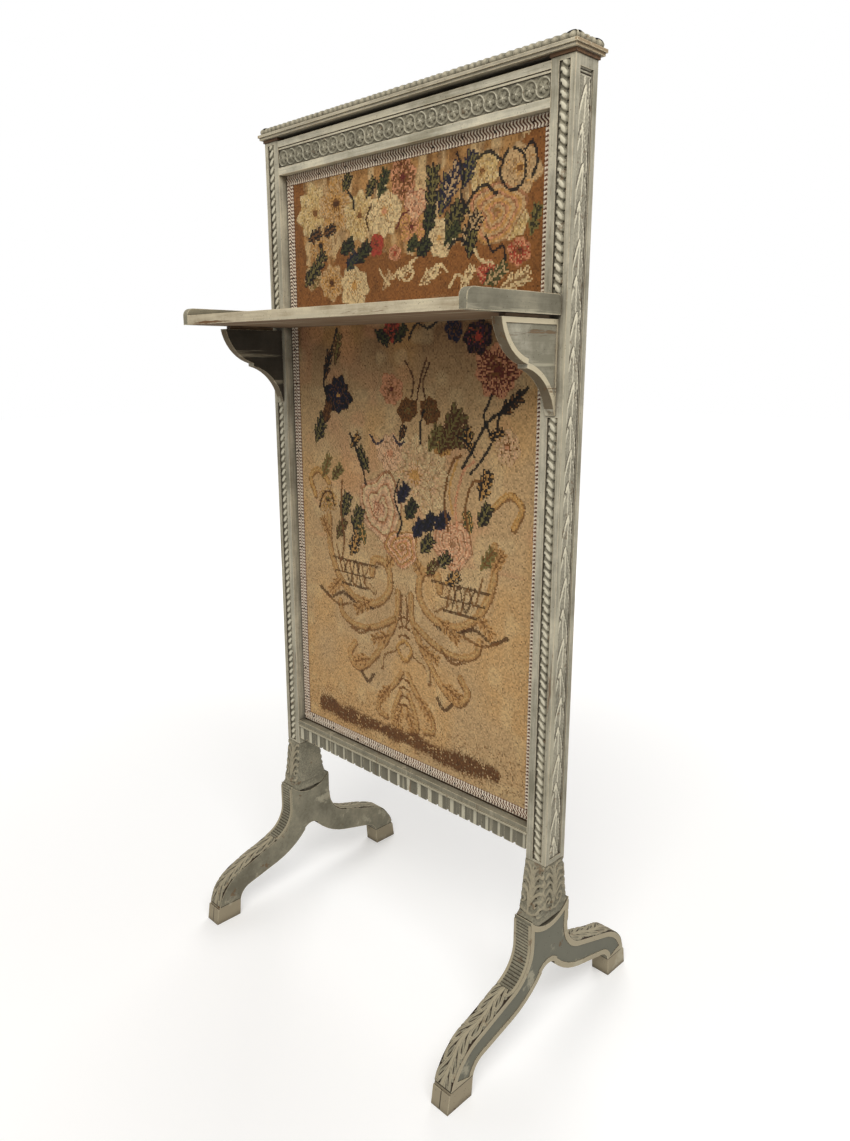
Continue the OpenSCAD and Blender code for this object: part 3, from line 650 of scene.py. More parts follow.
def ribbon(u, v):
    """S-shaped strands, one above the other, with drilled holes between them."""
    sway = 3.1 * np.sin(np.pi * u / (2 * STRIP_HALF))
    along = v + sway
    along = along - np.round(along / RIBBON_PITCH) * RIBBON_PITCH
    bead = dome(along, 0.2 + 4.1 * dome(u, STRIP_HALF + 0.4))
    body = dome(u, STRIP_HALF)
    height = 0.3 + 2.4 * (0.3 * body + 0.7 * bead * (0.35 + 0.65 * body))
    level = v - np.round(v / RIBBON_PITCH) * RIBBON_PITCH
    gap_right = (level + 0.5 * RIBBON_PITCH + 3) % RIBBON_PITCH - 3
    gap_left = (level + 0.5 * RIBBON_PITCH - 3.6) % RIBBON_PITCH - 3
    holes = pit(u - 3.9, gap_right + 1.9, 2.3, 2.3)
    holes = np.maximum(holes, 0.85 * pit(u + 4.3, gap_left + 1.2, 1.6, 1.6))
    wear = np.clip((bead - 0.5) / 0.45, 0, 1) * np.clip(1 - np.abs(u + 0.8) / 5.2, 0, 1) ** 0.5
    # The drilled holes are also painted dark: painted shade.
    return height - 1.6 * holes, {"worn": wear * (1 - holes), "deep_shade": holes}


def make_strips():
    for side in (-1, 1):
        for level in ("upper", "lower"):
            node = f"{'right' if side > 0 else 'left'}_{level}_strip"
            low, high = box_mm(node)
            middle = (low[0] + high[0]) / 2
            half = (high[0] - low[0]) / 2
            us, vs = steps(-half, half, 0.62), steps(low[2], high[2], 0.62)
            u, v = np.meshgrid(us, vs, indexing="ij")
            height, marks = ribbon(u, v)
            bed = high[1]
            slab(node + "_carving", us, vs, height, lambda a, b, h: (middle + side * a, bed - h, b), 0.05,
                 "ribbon", "frame", marks, [node])


# Guilloche of the top rail: overlapping rings round rosettes
RING_COUNT = 26
RING_R = 8.7
RING_BAND = 1.25
PETALS = 5
ROSETTE_R = 6.1


def guilloche(x, z, pitch):
    centre = (np.floor(x / pitch) + 0.5) * pitch
    across = x - centre
    radius, angle = np.hypot(across, z), np.arctan2(z, across)
    petal = ROSETTE_R * (0.62 + 0.38 * np.abs(np.cos(PETALS / 2 * angle + 0.4)))
    height = np.where(radius < petal, 0.35 + 1.2 * dome(radius, ROSETTE_R + 0.6), 0.1)
    height -= 0.5 * (np.abs(np.sin(PETALS / 2 * angle + 0.4)) > 0.93) * (radius < ROSETTE_R)
    height = np.maximum(height, 1.9 * dome(radius, 1.5))
    for shift in (-1, 0, 1):
        side = across - shift * pitch
        reach = np.hypot(side, z)
        over = 0.3 * np.sign(side * z)
        height = np.maximum(height, (1.35 + over) * dome(reach - RING_R, RING_BAND) ** 0.6)
    edge = x - np.round(x / pitch) * pitch
    holes = np.maximum(pit(edge, z + 8.3, 2.6, 2.3), 0.85 * pit(edge, z - 8.5, 2.1, 1.5))
    for k in range(PETALS):
        turn = (2 * k + 1) * np.pi / PETALS - 0.8 / PETALS
        holes = np.maximum(holes, pit(across - 5.5 * math.cos(turn), z - 5.5 * math.sin(turn), 1.55, 1.55))
    wear = np.clip((height - 1.0) / 0.9, 0, 1)
    # Holes are painted dark as well: painted shade.
    return height - 1.2 * holes, {"worn": 0.75 * wear * (1 - holes), "deep_shade": holes}


def make_guilloche():
    low, high = box_mm("guilloche_strip")
    us, vs = steps(low[0], high[0], 0.5), steps(low[2], high[2], 0.5)
    middle = (low[2] + high[2]) / 2
    u, v = np.meshgrid(us, vs, indexing="ij")
    height, marks = guilloche(u, v - middle, (high[0] - low[0]) / RING_COUNT)
    slab("guilloche_carving", us, vs, height, lambda a, b, h: (a, high[1] - 0.5 - h, b), -0.3, "ribbon",
         "frame", marks, ["guilloche_strip"])


# Laurel on the outer sides: leaves whose tips lie over the next leaf, in a grooved frame
LEAF_PITCH = 34.0
LEAF_LONG = 60.0
LEAF_HALF = 18.0
LEAF_RIM = 2.1
LEAF_SHADOW = 1.5


def laurel(u, v, foot, top):
    height = np.full(u.shape, 0.3)
    wear = np.zeros(u.shape)
    deep_shade = np.zeros(u.shape)
    for k in range(round((top - foot) / LEAF_PITCH), -3, -1):
        lean = 1.5 * (-1) ** k
        root = foot + k * LEAF_PITCH
        share = np.clip((v - root) / LEAF_LONG, 0, 1)
        side = u - lean * share
        half = np.minimum(9.4, LEAF_HALF * (1 - share) ** 0.85) + 0.001
        reach = np.abs(side) / half
        tip = (share > 0.3) & (share < 0.995)
        # The line beside each leaf tip is a painted shadow, dark and a little sunk.
        shadow = tip & (reach >= 1) & (np.abs(side) < half + LEAF_SHADOW)
        deep_shade = np.where(shadow, 0.56, deep_shade)
        height = np.where(shadow, np.minimum(height, 0.5), height)
        body = 0.7 + 0.9 * share - 0.35 * reach ** 2 + 0.35 * np.exp(-(side / 0.7) ** 2)
        body -= 0.18 * np.cos((v - 1.2 * np.abs(side)) * 2 * np.pi / 5.0)
        shown = (reach < 1) & (share > 0.02) & (share < 0.995)
        crest = np.exp(-side ** 2) + np.clip((np.abs(side) - half + LEAF_RIM) / 0.6, 0, 1) * tip
        height = np.where(shown, body, height)
        wear = np.where(shown, np.clip(0.15 + 0.75 * crest, 0, 1), wear * ~shadow)
        hole = pit(side - 3.4 * (-1) ** k, v - root - 0.8 * LEAF_LONG, 0.9, 3.0)
        deep_shade = np.maximum(np.where(shown, 0, deep_shade), 0.9 * hole)
    # Grooves of the frame are painted dark as well: painted shade.
    groove = np.maximum(pit(np.abs(u) - 9.7, 0, 0.9, 1), pit(v - top + 1.6, 0, 1.0, 1) * (np.abs(u) < 10))
    groove = np.maximum(groove, pit(v - top + 4.8, 0, 0.8, 1) * (np.abs(u) < 9))
    frame_band = (np.abs(u) > 8.9) | (v > top - 7)
    height = np.where(frame_band, 1.5, height) - 1.2 * groove
    wear = np.where(frame_band, 0.45, wear)
    deep_shade = np.where(frame_band, 0, deep_shade)
    return height - 0.6 * deep_shade, {"worn": wear * (1 - groove), "deep_shade": np.maximum(deep_shade, 0.7 * groove)}


def make_laurels():
    for side, node in ((-1, "left_laurel_strip"), (1, "right_laurel_strip")):
        low, high = box_mm(node)
        us, vs = steps(low[1], high[1], 0.6), steps(low[2], high[2], 0.75)
        u, v = np.meshgrid(us, vs, indexing="ij")
        height, marks = laurel(u, v, low[2], high[2])
        bed = min(abs(low[0]), abs(high[0]))
        slab(node + "_carving", us, vs, height, lambda a, b, h: (side * (bed + h), a, b), 0.02, "laurel",
             "frame", marks, [node])


# Carved blocks between the uprights and the feet
BLOCK_FOOT = 170.0
BLOCK_TOP = 232.8
BLOCK_MIDDLE = 230.4
BLOCK_HALF = (14.2, 19.6)
BLOCK_SWELL = ((0, 0.2), (0.15, 0.8), (0.45, 1.2), (0.7, 0.8), (0.88, -0.2), (1, -0.6))
FLARE = 9.5
FOLIAGE = [
    ([(1, 4), (6, 3), (13, 6), (15.5, 13), (11, 18.5), (6.5, 15.5), (9, 11.5)], 4.2),
    ([(0.8, 12), (4, 23), (10, 28.5), (16, 26)], 4.8), ([(0.8, 24), (4, 34), (10, 39), (16.5, 36)], 4.8),
    ([(0.8, 35), (3.6, 44), (9, 49), (15, 47)], 4.6), ([(0.8, 45), (3.2, 54), (8, 59), (13, 58)], 4.4),
    ([(17, 22), (20, 31), (18, 41), (20, 50)], 3.8), ([(0, 2), (0, 58)], 3.0),
]
FOLIAGE_HOLES = ((9.5, 13, 1.4, 1.4), (7, 22.5, 1.1, 2.2), (7, 33.5, 1.1, 2.4), (6.4, 43.5, 1.0, 2.4),
                 (13.5, 32, 1.5, 1.2), (12.5, 53, 1.6, 1.1), (17.4, 8, 1.2, 2.0))


def foliage(a, v):
    """Scrolling leaves at a distance a from the middle of a face: height and holes."""
    height = np.zeros(np.broadcast(a, v).shape)
    for points, width in FOLIAGE:
        near = distance(a, v, smooth_line(points, 5))
        height = np.maximum(height, dome(near, width / 2) - 0.25 * np.exp(-(near / 0.45) ** 2))
    holes = np.zeros(height.shape)
    for x, z, wide, tall in FOLIAGE_HOLES:
        holes = np.maximum(holes, pit(a - x, v - z, wide, tall))
    return height, holes


def make_blocks():
    flat, inward, _ = rounded_loop(*BLOCK_HALF, 3.0, 0.6)
    levels = steps(BLOCK_FOOT, BLOCK_TOP, 0.6)
    rise = (levels - BLOCK_FOOT)[None, :]
    share = rise / (BLOCK_TOP - BLOCK_FOOT)
    on_side = np.abs(flat[:, 0]) / BLOCK_HALF[0] > np.abs(flat[:, 1]) / BLOCK_HALF[1]
    face = np.where(on_side, flat[:, 1], flat[:, 0])[:, None]
    across = np.abs(face + 1.1 * np.sin(rise / 7.5 + 0.4))
    relief, holes = foliage(across, rise + 1.3 * np.sin(face / 4.2 + 1) + 0.5 * np.sin(rise / 3))
    corner = np.prod(np.abs(inward), axis=1)[:, None] * 2
    relief = np.maximum(relief, corner * (0.6 + 0.35 * np.cos(rise * 0.62)))
    plain = ((flat[:, 0] < 0) & on_side)[:, None]
    relief, holes = np.where(plain, 0.75, relief), np.where(plain, 0, holes)
    swell = np.interp(share, *zip(*BLOCK_SWELL))
    outline = flat[:, None, :] - inward[:, None, :] * (swell + 2.2 * relief - 1.7 * holes - 1.1)[..., None]
    to_front = (np.sign(flat[:, 1]) * np.abs(inward[:, 1]))[:, None]
    outline[..., 1] += to_front * FLARE * (1 - share) ** 2.2
    # Holes and the ground between the leaves are painted dark: painted shade.
    marks = {"worn": np.where(plain, 0, 0.75 * np.clip(relief, 0, 1) ** 1.5),
             "deep_shade": np.maximum(0.9 * holes, np.where(plain, 0, 0.3 * (relief < 0.08)))}
    for side, name in ((-1, "left"), (1, "right")):
        shifted = np.stack([side * (BLOCK_MIDDLE + outline[..., 0]), outline[..., 1],
                            levels[None, :] * np.ones_like(face)], -1)
        ring_solid(name + "_block_carving", shifted, False, "block", "frame", marks,
                   [name + "_carved_block"])
        us, vs = steps(-11.5, 11.5, 5), steps(-34, 34, 1)
        top = 171.4 - 3.4 * np.clip((np.abs(vs) - 29) / 4, 0, 1)
        slab(name + "_block_root", us, vs, np.tile(top, (us.size, 1)),
             lambda a, b, h: (side * FOOT_MIDDLE + a, b, h), 156.0, "edge", "frame")


# Leaf edge round the top of the cap
CAP_LEAF = 9.4
CAP_PROFILE = ((1.4, 0.0), (1.0, 0.14), (0.4, 0.3), (0.1, 0.45), (0.4, 0.62), (1.3, 0.78), (2.8, 0.9),
               (4.8, 0.97), (7.5, 1.0), (10.5, 0.97), (13.4, 0.9), (13.4, 0.0))


def make_cap_band():
    low, high = box_mm("cap_carved_band")
    flat, inward, share = rounded_loop(high[0], high[1], 2.5, 0.9)
    count = round(2 * (high[0] - low[0] + high[1] - low[1]) / CAP_LEAF)
    turn = share * count + 0.12 * np.sin(share * 97)
    phase = turn - np.floor(turn) - 0.5
    inset, rise = np.array(CAP_PROFILE).T
    outer = np.clip(1 - inset / 8, 0, 1)[None, :]
    reach = np.abs(phase)[:, None] / (0.2 + 0.34 * np.clip(1.15 - rise, 0, 1)[None, :])
    tip = np.sqrt(np.clip(1 - reach ** 2, 0, 1))
    carve = 1.5 * (1 - tip) * outer
    rib = 0.3 * np.exp(-(phase / 0.07) ** 2)[:, None] * outer
    uneven = 0.25 * np.sin(share * 211)[:, None] * outer
    push = inset[None, :] + carve - rib + uneven + 0.6
    level = low[2] + rise[None, :] * (high[2] - low[2]) - 0.5 * carve * (rise > 0.5)[None, :]
    points = np.concatenate([flat[:, None, :] + inward[:, None, :] * push[..., None], level[..., None]], -1)
    # The holes between the leaves are painted dark: painted shade.
    holes = np.clip((carve - 1.2) / 0.3, 0, 1) * (rise < 0.85)[None, :]
    ring_solid("cap_leaf_edge", points, True, "edge", "leaf",
               {"worn": 0.7 * tip * outer, "deep_shade": 0.6 * holes}, ["cap_carved_band"])


# Carving on the outer curve of the legs
HORN_Y = 35.75
NECK = (79.75, 132.6, 44.0)
KNEE = (108.8, 11.0, 62.0)
FLUTE_PITCH = 4.1
FLUTES_LONG = 86.0
STRAND_PITCH = 21.0
STRANDS = [
    ([(0.3, 0), (2.4, 15), (6.6, 27), (10.4, 37), (9.6, 46), (6.6, 45)], 4.6),
    ([(3.4, 9), (7.6, 18), (10.9, 29)], 2.8),
]


def arc(centre_y, centre_z, radius, first, last):
    """Points [y, z] on an arc, from one angle in degrees to another."""
    turns = np.radians(np.linspace(first, last, 30))
    return [(centre_y + radius * math.cos(a), centre_z + radius * math.sin(a)) for a in turns]


def leg_route():
    """Points [y, z] down the outer curve of a leg, from the horn to the toe."""
    horn = [(HORN_Y, z) for z in np.linspace(164, NECK[1], 12)]
    return np.array(horn[:-1] + arc(*NECK, 180, 250.5) + arc(*KNEE, 70.5, 15))


def leg_folds(u, v):
    """Strands that leave a winding rib in turn and curl at their ends: height and hollows."""
    winding = u - 1.5 * np.sin(2 * np.pi * v / 58)
    height = dome(winding, 1.9)
    for k in range(-2, round(v.max() / STRAND_PITCH) + 1):
        for turn in (-1, 1):
            start = STRAND_PITCH * (k + 0.25 * turn)
            for points, width in STRANDS:
                line = smooth_line([(turn * a, start + b) for a, b in points], 5)
                near = distance(winding, v, line)
                height = np.maximum(height, dome(near, width / 2) - 0.3 * np.exp(-(near / 0.5) ** 2))
    return 0.35 + 1.25 * height, np.clip(1.6 - 2 * height, 0, 1)


def make_leg_carvings():
    route = leg_route()
    gaps = np.linalg.norm(np.diff(route, axis=0), axis=1)
    stations = np.concatenate([[0], np.cumsum(gaps)])
    us, vs = steps(-12.2, 12.2, 0.6), steps(0.5, stations[-1] - 0.5, 0.6)
    y, z = (np.interp(vs, stations, route[:, k]) for k in (0, 1))
    ahead = np.stack([np.gradient(y), np.gradient(z)], 1)
    padded = np.pad(ahead, ((4, 4), (0, 0)), "edge")
    ahead = np.stack([np.convolve(padded[:, k], np.ones(9) / 9, "valid") for k in (0, 1)], 1)
    ahead /= np.linalg.norm(ahead, axis=1)[:, None]
    normal = np.stack([-ahead[:, 1], ahead[:, 0]], 1)
    u, v = np.meshgrid(us, vs, indexing="ij")
    border = np.clip((np.abs(u) - 8.6) / 0.6, 0, 1)
    flutes = np.abs(np.sin(np.pi * v / FLUTE_PITCH)) ** 0.8
    folds, hollows = leg_folds(u, v)
    for side, name in ((-1, "left"), (1, "right")):
        for face, where in ((-1, "front"), (1, "back")):
            fluted = v < FLUTES_LONG * (where == "front")
            height = 0.1 + np.where(fluted, 1.5 * np.maximum(flutes, border), folds)
            # The flute bottoms and the hollows between the strands are painted dark: painted shade.
            deep_shade = np.where(fluted, np.clip(1.3 - 2.2 * flutes, 0, 1) * (1 - border), 0.9 * hollows)
            worn = np.where(fluted, np.maximum(0.3 * flutes, border), np.clip((folds - 1.2) / 0.3, 0, 1))

            def place(a, b, h, side=side, face=face):
                k = np.searchsorted(vs, b.ravel() - 1e-9).reshape(b.shape)
                return (side * (FOOT_MIDDLE + a), face * (y[k] + normal[k, 0] * h), z[k] + normal[k, 1] * h)

            slab(f"{name}_{where}_leg_carving", us, vs, height, place, -0.8, "block", "frame",
                 {"worn": worn, "deep_shade": deep_shade})


# Gimp: slanting S-shaped cords on a dark band, with a looped edge
GIMP_LOOP = 4.4
CORD_R = 1.2


def gimp(u, v):
    sway = 2.4 * np.sin(np.pi * u / 6.2)
    along = (v + sway) / GIMP_LOOP
    cords = dome((along - np.round(along)) * GIMP_LOOP, CORD_R) * (np.abs(u) < 5.6)
    turn = v / GIMP_LOOP + 0.5
    centre = (turn - np.round(turn)) * GIMP_LOOP
    loops = dome(np.hypot(np.abs(u) - 5.3, centre) - 0.75, 0.5)
    outline = 6.4 - 0.7 * (0.5 - 0.5 * np.cos(2 * np.pi * turn))
    band = np.where(np.abs(u) < outline, 0.5, 0.08)
    height = np.maximum(band, np.maximum(0.5 + 0.9 * cords, 0.5 + 0.6 * loops) * (np.abs(u) < 6.45))
    bright = np.clip(np.maximum(cords, loops) * 1.6, 0, 1)
    # The band between the cords is painted darker: painted shade.
    return height, {"worn": bright, "deep_shade": 0.45 * (bright < 0.05)}


def make_gimps():
    made = []
    for node in ("gimp_top", "gimp_bottom", "gimp_left", "gimp_right"):
        low, high = box_mm(node)
        upright = high[2] - low[2] > high[0] - low[0]
        axis = 0 if upright else 2
        middle = (low[axis] + high[axis]) / 2
        span = (low[2], high[2]) if upright else (low[0], high[0])
        us, vs = steps(-6.48, 6.48, 0.5), steps(*span, 0.55)
        u, v = np.meshgrid(us, vs, indexing="ij")
        height, marks = gimp(u, v)
        bed = high[1]

        def place(a, b, h, upright=upright, middle=middle, bed=bed):
            return (middle + a, bed - h, b) if upright else (b, bed - h, middle + a)

        made.append(slab(node + "_braid", us, vs, height, place, 0.0, "gimp", "leaf", marks, [node]))
    return made


# Needlework: wool colours on a grid of stitches
STITCH = 1.85
WOOL = {
    "beige": (198, 163, 116), "brown": (140, 90, 46), "cream": (218, 191, 142), "ochre": (200, 150, 84),
    "rose": (206, 144, 104), "pink": (222, 180, 138), "red": (172, 66, 50), "maroon": (100, 42, 34),
    "navy": (32, 32, 50), "black": (26, 24, 22), "green": (70, 72, 40), "olive": (120, 108, 60),
    "dark": (78, 48, 24), "bark": (98, 60, 28), "umber": (120, 78, 40), "sand": (190, 144, 88),
    "straw": (204, 172, 112),
}
WOOL = {name: np.array(paint(*rgb)[:3]) for name, rgb in WOOL.items()}


class Canvas:
    def __init__(self, low, high):
        self.nx = round((high[0] - low[0]) / STITCH)
        self.nz = round((high[2] - low[2]) / STITCH)
        self.x = low[0] + (np.arange(self.nx) + 0.5) * (high[0] - low[0]) / self.nx
        self.z = low[2] + (np.arange(self.nz) + 0.5) * (high[2] - low[2]) / self.nz
        self.rag = rng.normal(0, 0.7, (self.nx, self.nz))
        self.rgb = np.zeros((self.nx, self.nz, 3))

    def window(self, low, high):
        i = slice(*np.searchsorted(self.x, [low[0], high[0]]))
        j = slice(*np.searchsorted(self.z, [low[1], high[1]]))
        return i, j, self.x[i][:, None], self.z[j][None, :]

    def lay(self, i, j, mask, colour, strength=0.95):
        part = self.rgb[i, j]
        part += (WOOL[colour] - part) * (mask * strength)[..., None]

    def lay_all(self, mask, colour, strength=0.95):
        self.lay(slice(None), slice(None), mask, colour, strength)

    def clouds(self, size, tall=1.0):
        """Soft noise from 0 to 1 with features of about that size."""
        rough = rng.random((int(self.nx * STITCH / size) + 3, int(self.nz * STITCH / size / tall) + 3))
        a = np.linspace(0, rough.shape[0] - 1.001, self.nx)
        b = np.linspace(0, rough.shape[1] - 1.001, self.nz)
        i, j = a.astype(int), b.astype(int)
        s, t = (a - i)[:, None], (b - j)[None, :]
        s, t = s * s * (3 - 2 * s), t * t * (3 - 2 * t)
        first = rough[i][:, j] * (1 - s) + rough[i + 1][:, j] * s
        second = rough[i][:, j + 1] * (1 - s) + rough[i + 1][:, j + 1] * s
        return first * (1 - t) + second * t

    def stroke(self, points, width, colour, strength=0.95):
        line = smooth_line(points)
        i, j, x, z = self.window(line.min(0) - width, line.max(0) + width)
        self.lay(i, j, distance(x, z, line) + 0.5 * self.rag[i, j] < width / 2, colour, strength)

    def band(self, points, width, fill, rim):
        """A scroll: a filled stroke with a light core and a rim that is wider below."""
        below = [(x + 0.9, z - 1.3) for x, z in points]
        self.stroke(below, width + 3.2, rim, 0.85)
        self.stroke(points, width + 0.8, fill, 0.85)
        self.stroke(points, 0.3 * width, "straw", 0.5)

    def blade(self, root, tip, width, tones, outline=None, leaf=False):
        """A petal whose tones run from root to tip, or a leaf of one tone with veins of the other."""
        root, tip = np.array(root, float), np.array(tip, float)
        length = np.hypot(*(tip - root))
        d = (tip - root) / length
        ends = np.array([root, tip])
        i, j, x, z = self.window(ends.min(0) - width / 2, ends.max(0) + width / 2)
        along = ((x - root[0]) * d[0] + (z - root[1]) * d[1]) / length
        across = (z - root[1]) * d[0] - (x - root[0]) * d[1]
        rag = self.rag[i, j]
        half = width / 2 * np.sin(np.pi * np.clip(along, 0, 1) ** 0.75) ** 0.7
        edge = half - np.abs(across) - 0.5 * rag
        inside = (edge > 0) & (along > 0) & (along < 1)
        if leaf:
            self.lay(i, j, inside, tones[0])
            veins = np.sin((along * length - np.abs(across)) * 2 * np.pi / 7.4) > 0.35
            self.lay(i, j, inside & (veins | (np.abs(across) < 1.0)) & (edge > 1.4), tones[1], 0.85)
        else:
            place = (along + 0.16 * np.sin(2 * np.pi * across / 4.6) + 0.12 * rag) * len(tones)
            for k, tone in enumerate(tones):
                self.lay(i, j, inside & (place >= k), tone, 0.9)
        if outline:
            self.lay(i, j, inside & (edge < 1.2), outline, 0.55)

    def spray(self, root, tip, width, tones):
        """A lobed leaf: small blades that fan out from a middle blade."""
        root, tip = np.array(root, float), np.array(tip, float)
        ahead = tip - root
        across = np.array([-ahead[1], ahead[0]]) / np.hypot(*ahead)
        for share in (0.2, 0.45, 0.68):
            for side in (-1, 1):
                start = root + share * ahead
                end = start + 0.26 * ahead + side * 0.62 * width * (1.1 - 0.4 * share) * across
                self.blade(start, end, 0.5 * width, tones, leaf=True)
        self.blade(root, tip, 0.62 * width, tones, leaf=True)

    def flower(self, cx, cz, radius, count, tones, heart, outline="umber", flat=1.0):
        """Three rings of petals round a heart, each ring over the one before."""
        for reach in (1.12 * radius, 0.8 * radius, 0.5 * radius):
            turn = rng.uniform(0, 2 * np.pi)
            for k in range(count):
                angle = turn + 2 * np.pi * (k + rng.uniform(-0.2, 0.2)) / count
                far = reach * rng.uniform(0.84, 1.1) * np.array([math.cos(angle), flat * math.sin(angle)])
                self.blade((cx, cz) + 0.1 * far, (cx, cz) + far, 6.4 * reach / count, tones, outline)
        self.stroke([(cx - 0.06 * radius, cz), (cx + 0.06 * radius, cz)], 0.2 * radius, heart)

    def rose(self, cx, cz, radius, tones, fold_tone, flat=1.0):
        """A full rose, whose petals wind round its heart."""
        spread = np.array([radius, radius * flat]) * 1.25
        i, j, x, z = self.window((cx, cz) - spread, (cx, cz) + spread)
        angle = np.arctan2((z - cz) / flat, x - cx)
        reach = np.hypot(x - cx, (z - cz) / flat) / radius
        reach = reach * (1 + 0.1 * np.sin(3 * angle + cx) + 0.07 * np.sin(5 * angle + cz))
        reach = reach + 0.6 * self.rag[i, j] / radius
        fold = (3.2 * reach + angle / (2 * np.pi) + 0.1 * np.sin(4 * angle)) % 1
        for k, tone in enumerate(tones):
            self.lay(i, j, (reach < 1) & (fold * len(tones) >= k), tone, 0.9)
        streak = np.sin(13 * angle + 5 * reach) > 0.72
        self.lay(i, j, (reach < 1) & ((fold < 0.13) | (reach > 0.94) | (reach < 0.14)), fold_tone, 0.6)
        self.lay(i, j, (reach < 1) & streak, fold_tone, 0.35)


PALE = ("sand", "straw", "straw", "cream")
BLUSH = ("rose", "pink", "rose", "pink")
UPPER_FLOWERS = [
    (-160, 978, 34, 9, PALE, "umber"), (-118, 984, 36, 11, ("umber", "ochre", "beige"), "dark"),
    (-74, 966, 30, 9, PALE, "umber"), (-150, 938, 22, 8, ("dark", "ochre", "beige"), "black"),
    (-30, 966, 28, 10, ("ochre", "cream", "cream"), "rose"),
    (2, 998, 22, 7, ("maroon", "umber", "rose"), "maroon"),
    (16, 944, 22, 8, ("umber", "rose", "ochre"), "maroon"),
    (172, 984, 26, 7, ("ochre", "beige", "beige"), "umber"),
    (122, 988, 22, 7, PALE, "umber"), (60, 928, 22, 6, ("beige", "cream", "cream"), "ochre"),
    (-130, 892, 24, 8, ("umber", "ochre", "beige"), "dark"),
    (-86, 886, 26, 8, ("ochre", "cream", "cream"), "ochre"),
    (-44, 930, 13, 6, ("maroon", "red", "red"), "maroon"), (-12, 918, 10, 6, ("red", "rose", "rose"), "red"),
    (132, 886, 15, 7, ("maroon", "red", "rose"), "black"),
    (174, 906, 15, 7, ("umber", "red", "rose"), "maroon"),
    (166, 936, 18, 6, PALE, "ochre"), (-168, 900, 16, 6, ("umber", "olive", "beige"), "dark"),
]
UPPER_ROSES = [
    (142, 946, 36, ("rose", "ochre", "beige"), "umber", 0.85), (22, 968, 18, BLUSH, "maroon", 0.9)]
UPPER_LEAVES = [
    (48, 954, 50, 1008, 17, "black", "olive"), (60, 950, 76, 996, 16, "navy", "olive"),
    (40, 932, 48, 966, 15, "black", "green"), (66, 962, 92, 1004, 16, "navy", "beige"),
    (94, 974, 110, 1012, 14, "navy", "olive"), (70, 932, 96, 962, 20, "black", "olive"),
    (66, 920, 92, 940, 13, "green", "black"), (92, 916, 122, 950, 15, "black", "beige"),
    (104, 902, 110, 934, 13, "black", "olive"), (24, 912, 46, 930, 15, "black", "green"),
    (8, 918, 26, 932, 12, "green", "black"), (126, 874, 160, 894, 13, "green", "beige"),
    (150, 870, 192, 884, 13, "cream", "umber"), (-172, 898, -140, 932, 15, "black", "olive"),
    (-186, 890, -158, 916, 14, "black", "olive"), (-112, 926, -84, 938, 14, "black", "green"),
    (-84, 912, -54, 934, 15, "black", "green"), (-100, 904, -80, 926, 13, "navy", "green"),
    (-104, 996, -90, 1016, 12, "black", "olive"), (-40, 980, -24, 1014, 13, "green", "black"),
    (-62, 984, -44, 1006, 11, "black", "olive"), (-176, 946, -146, 956, 12, "black", "umber"),
    (-146, 950, -118, 958, 11, "black", "umber"), (188, 918, 198, 950, 11, "olive", "black"),
    (-20, 890, 20, 902, 9, "cream", "umber"), (28, 880, 62, 898, 10, "cream", "umber"),
    (92, 872, 112, 896, 10, "cream", "umber"), (-34, 878, -20, 900, 8, "beige", "umber"),
]
UPPER_STROKES = [
    ([(96, 952), (110, 968), (126, 974), (142, 964)], 3.6, "black"),
    ([(112, 1000), (130, 1006), (146, 996)], 3.2, "black"),
    ([(156, 1004), (146, 984), (158, 966), (176, 970), (178, 994), (164, 1004)], 3.2, "black"),
    ([(178, 1000), (188, 1006), (194, 988), (188, 974)], 3.0, "black"),
    ([(74, 916), (88, 924), (104, 918)], 3.6, "black"),
    ([(86, 1010), (96, 988), (92, 968), (104, 950)], 3.2, "black"),
    ([(128, 924), (138, 908), (152, 912), (156, 898)], 3.0, "black"),
    ([(-98, 998), (-86, 986), (-84, 974)], 3.2, "black"),
    ([(-52, 976), (-62, 962), (-58, 948)], 3.0, "dark"),
    ([(-4, 896), (6, 886), (18, 892), (12, 904), (24, 910)], 3.2, "cream"),
    ([(40, 896), (52, 888), (60, 900), (72, 892)], 3.2, "cream"),
    ([(76, 876), (88, 888), (102, 880), (110, 890)], 3.2, "cream"),
    ([(-40, 902), (-30, 890), (-22, 884)], 3.0, "cream"),
    ([(112, 912), (122, 900), (140, 896)], 3.0, "cream"), ([(-8, 946), (0, 958), (12, 962)], 2.8, "maroon"),
]
MIDDLE_FLOWERS = [
    (-122, 752, 25, 9, ("navy", "navy", "black"), "ochre"),
    (-20, 830, 15, 7, ("black", "maroon", "red"), "red"),
    (-20, 762, 20, 7, ("umber", "rose", "rose"), "maroon"),
    (148, 786, 32, 8, ("umber", "maroon", "rose"), "maroon"),
    (120, 822, 20, 7, ("red", "navy", "black"), "red"), (84, 830, 14, 7, ("black", "navy", "navy"), "black"),
    (8, 738, 16, 7, ("olive", "dark", "umber"), "umber"),
    (45, 738, 16, 7, ("olive", "dark", "umber"), "umber"),
    (20, 660, 52, 12, ("ochre", "pink", "beige", "cream"), "ochre"),
    (-24, 684, 24, 8, ("rose", "pink", "pink"), "rose"),
    (-150, 612, 20, 7, ("olive", "ochre", "beige"), "dark"),
    (164, 704, 20, 7, ("umber", "pink", "beige"), "rose"),
    (66, 702, 18, 8, ("olive", "umber", "ochre"), "dark"),
]
MIDDLE_ROSES = [
    (-42, 614, 40, ("rose", "pink", "pink", "cream"), "umber", 1.12), (84, 584, 33, BLUSH, "umber", 0.9),
    (-4, 566, 30, ("ochre", "rose", "pink"), "umber", 0.8), (-46, 610, 11, BLUSH, "maroon", 1.0)]
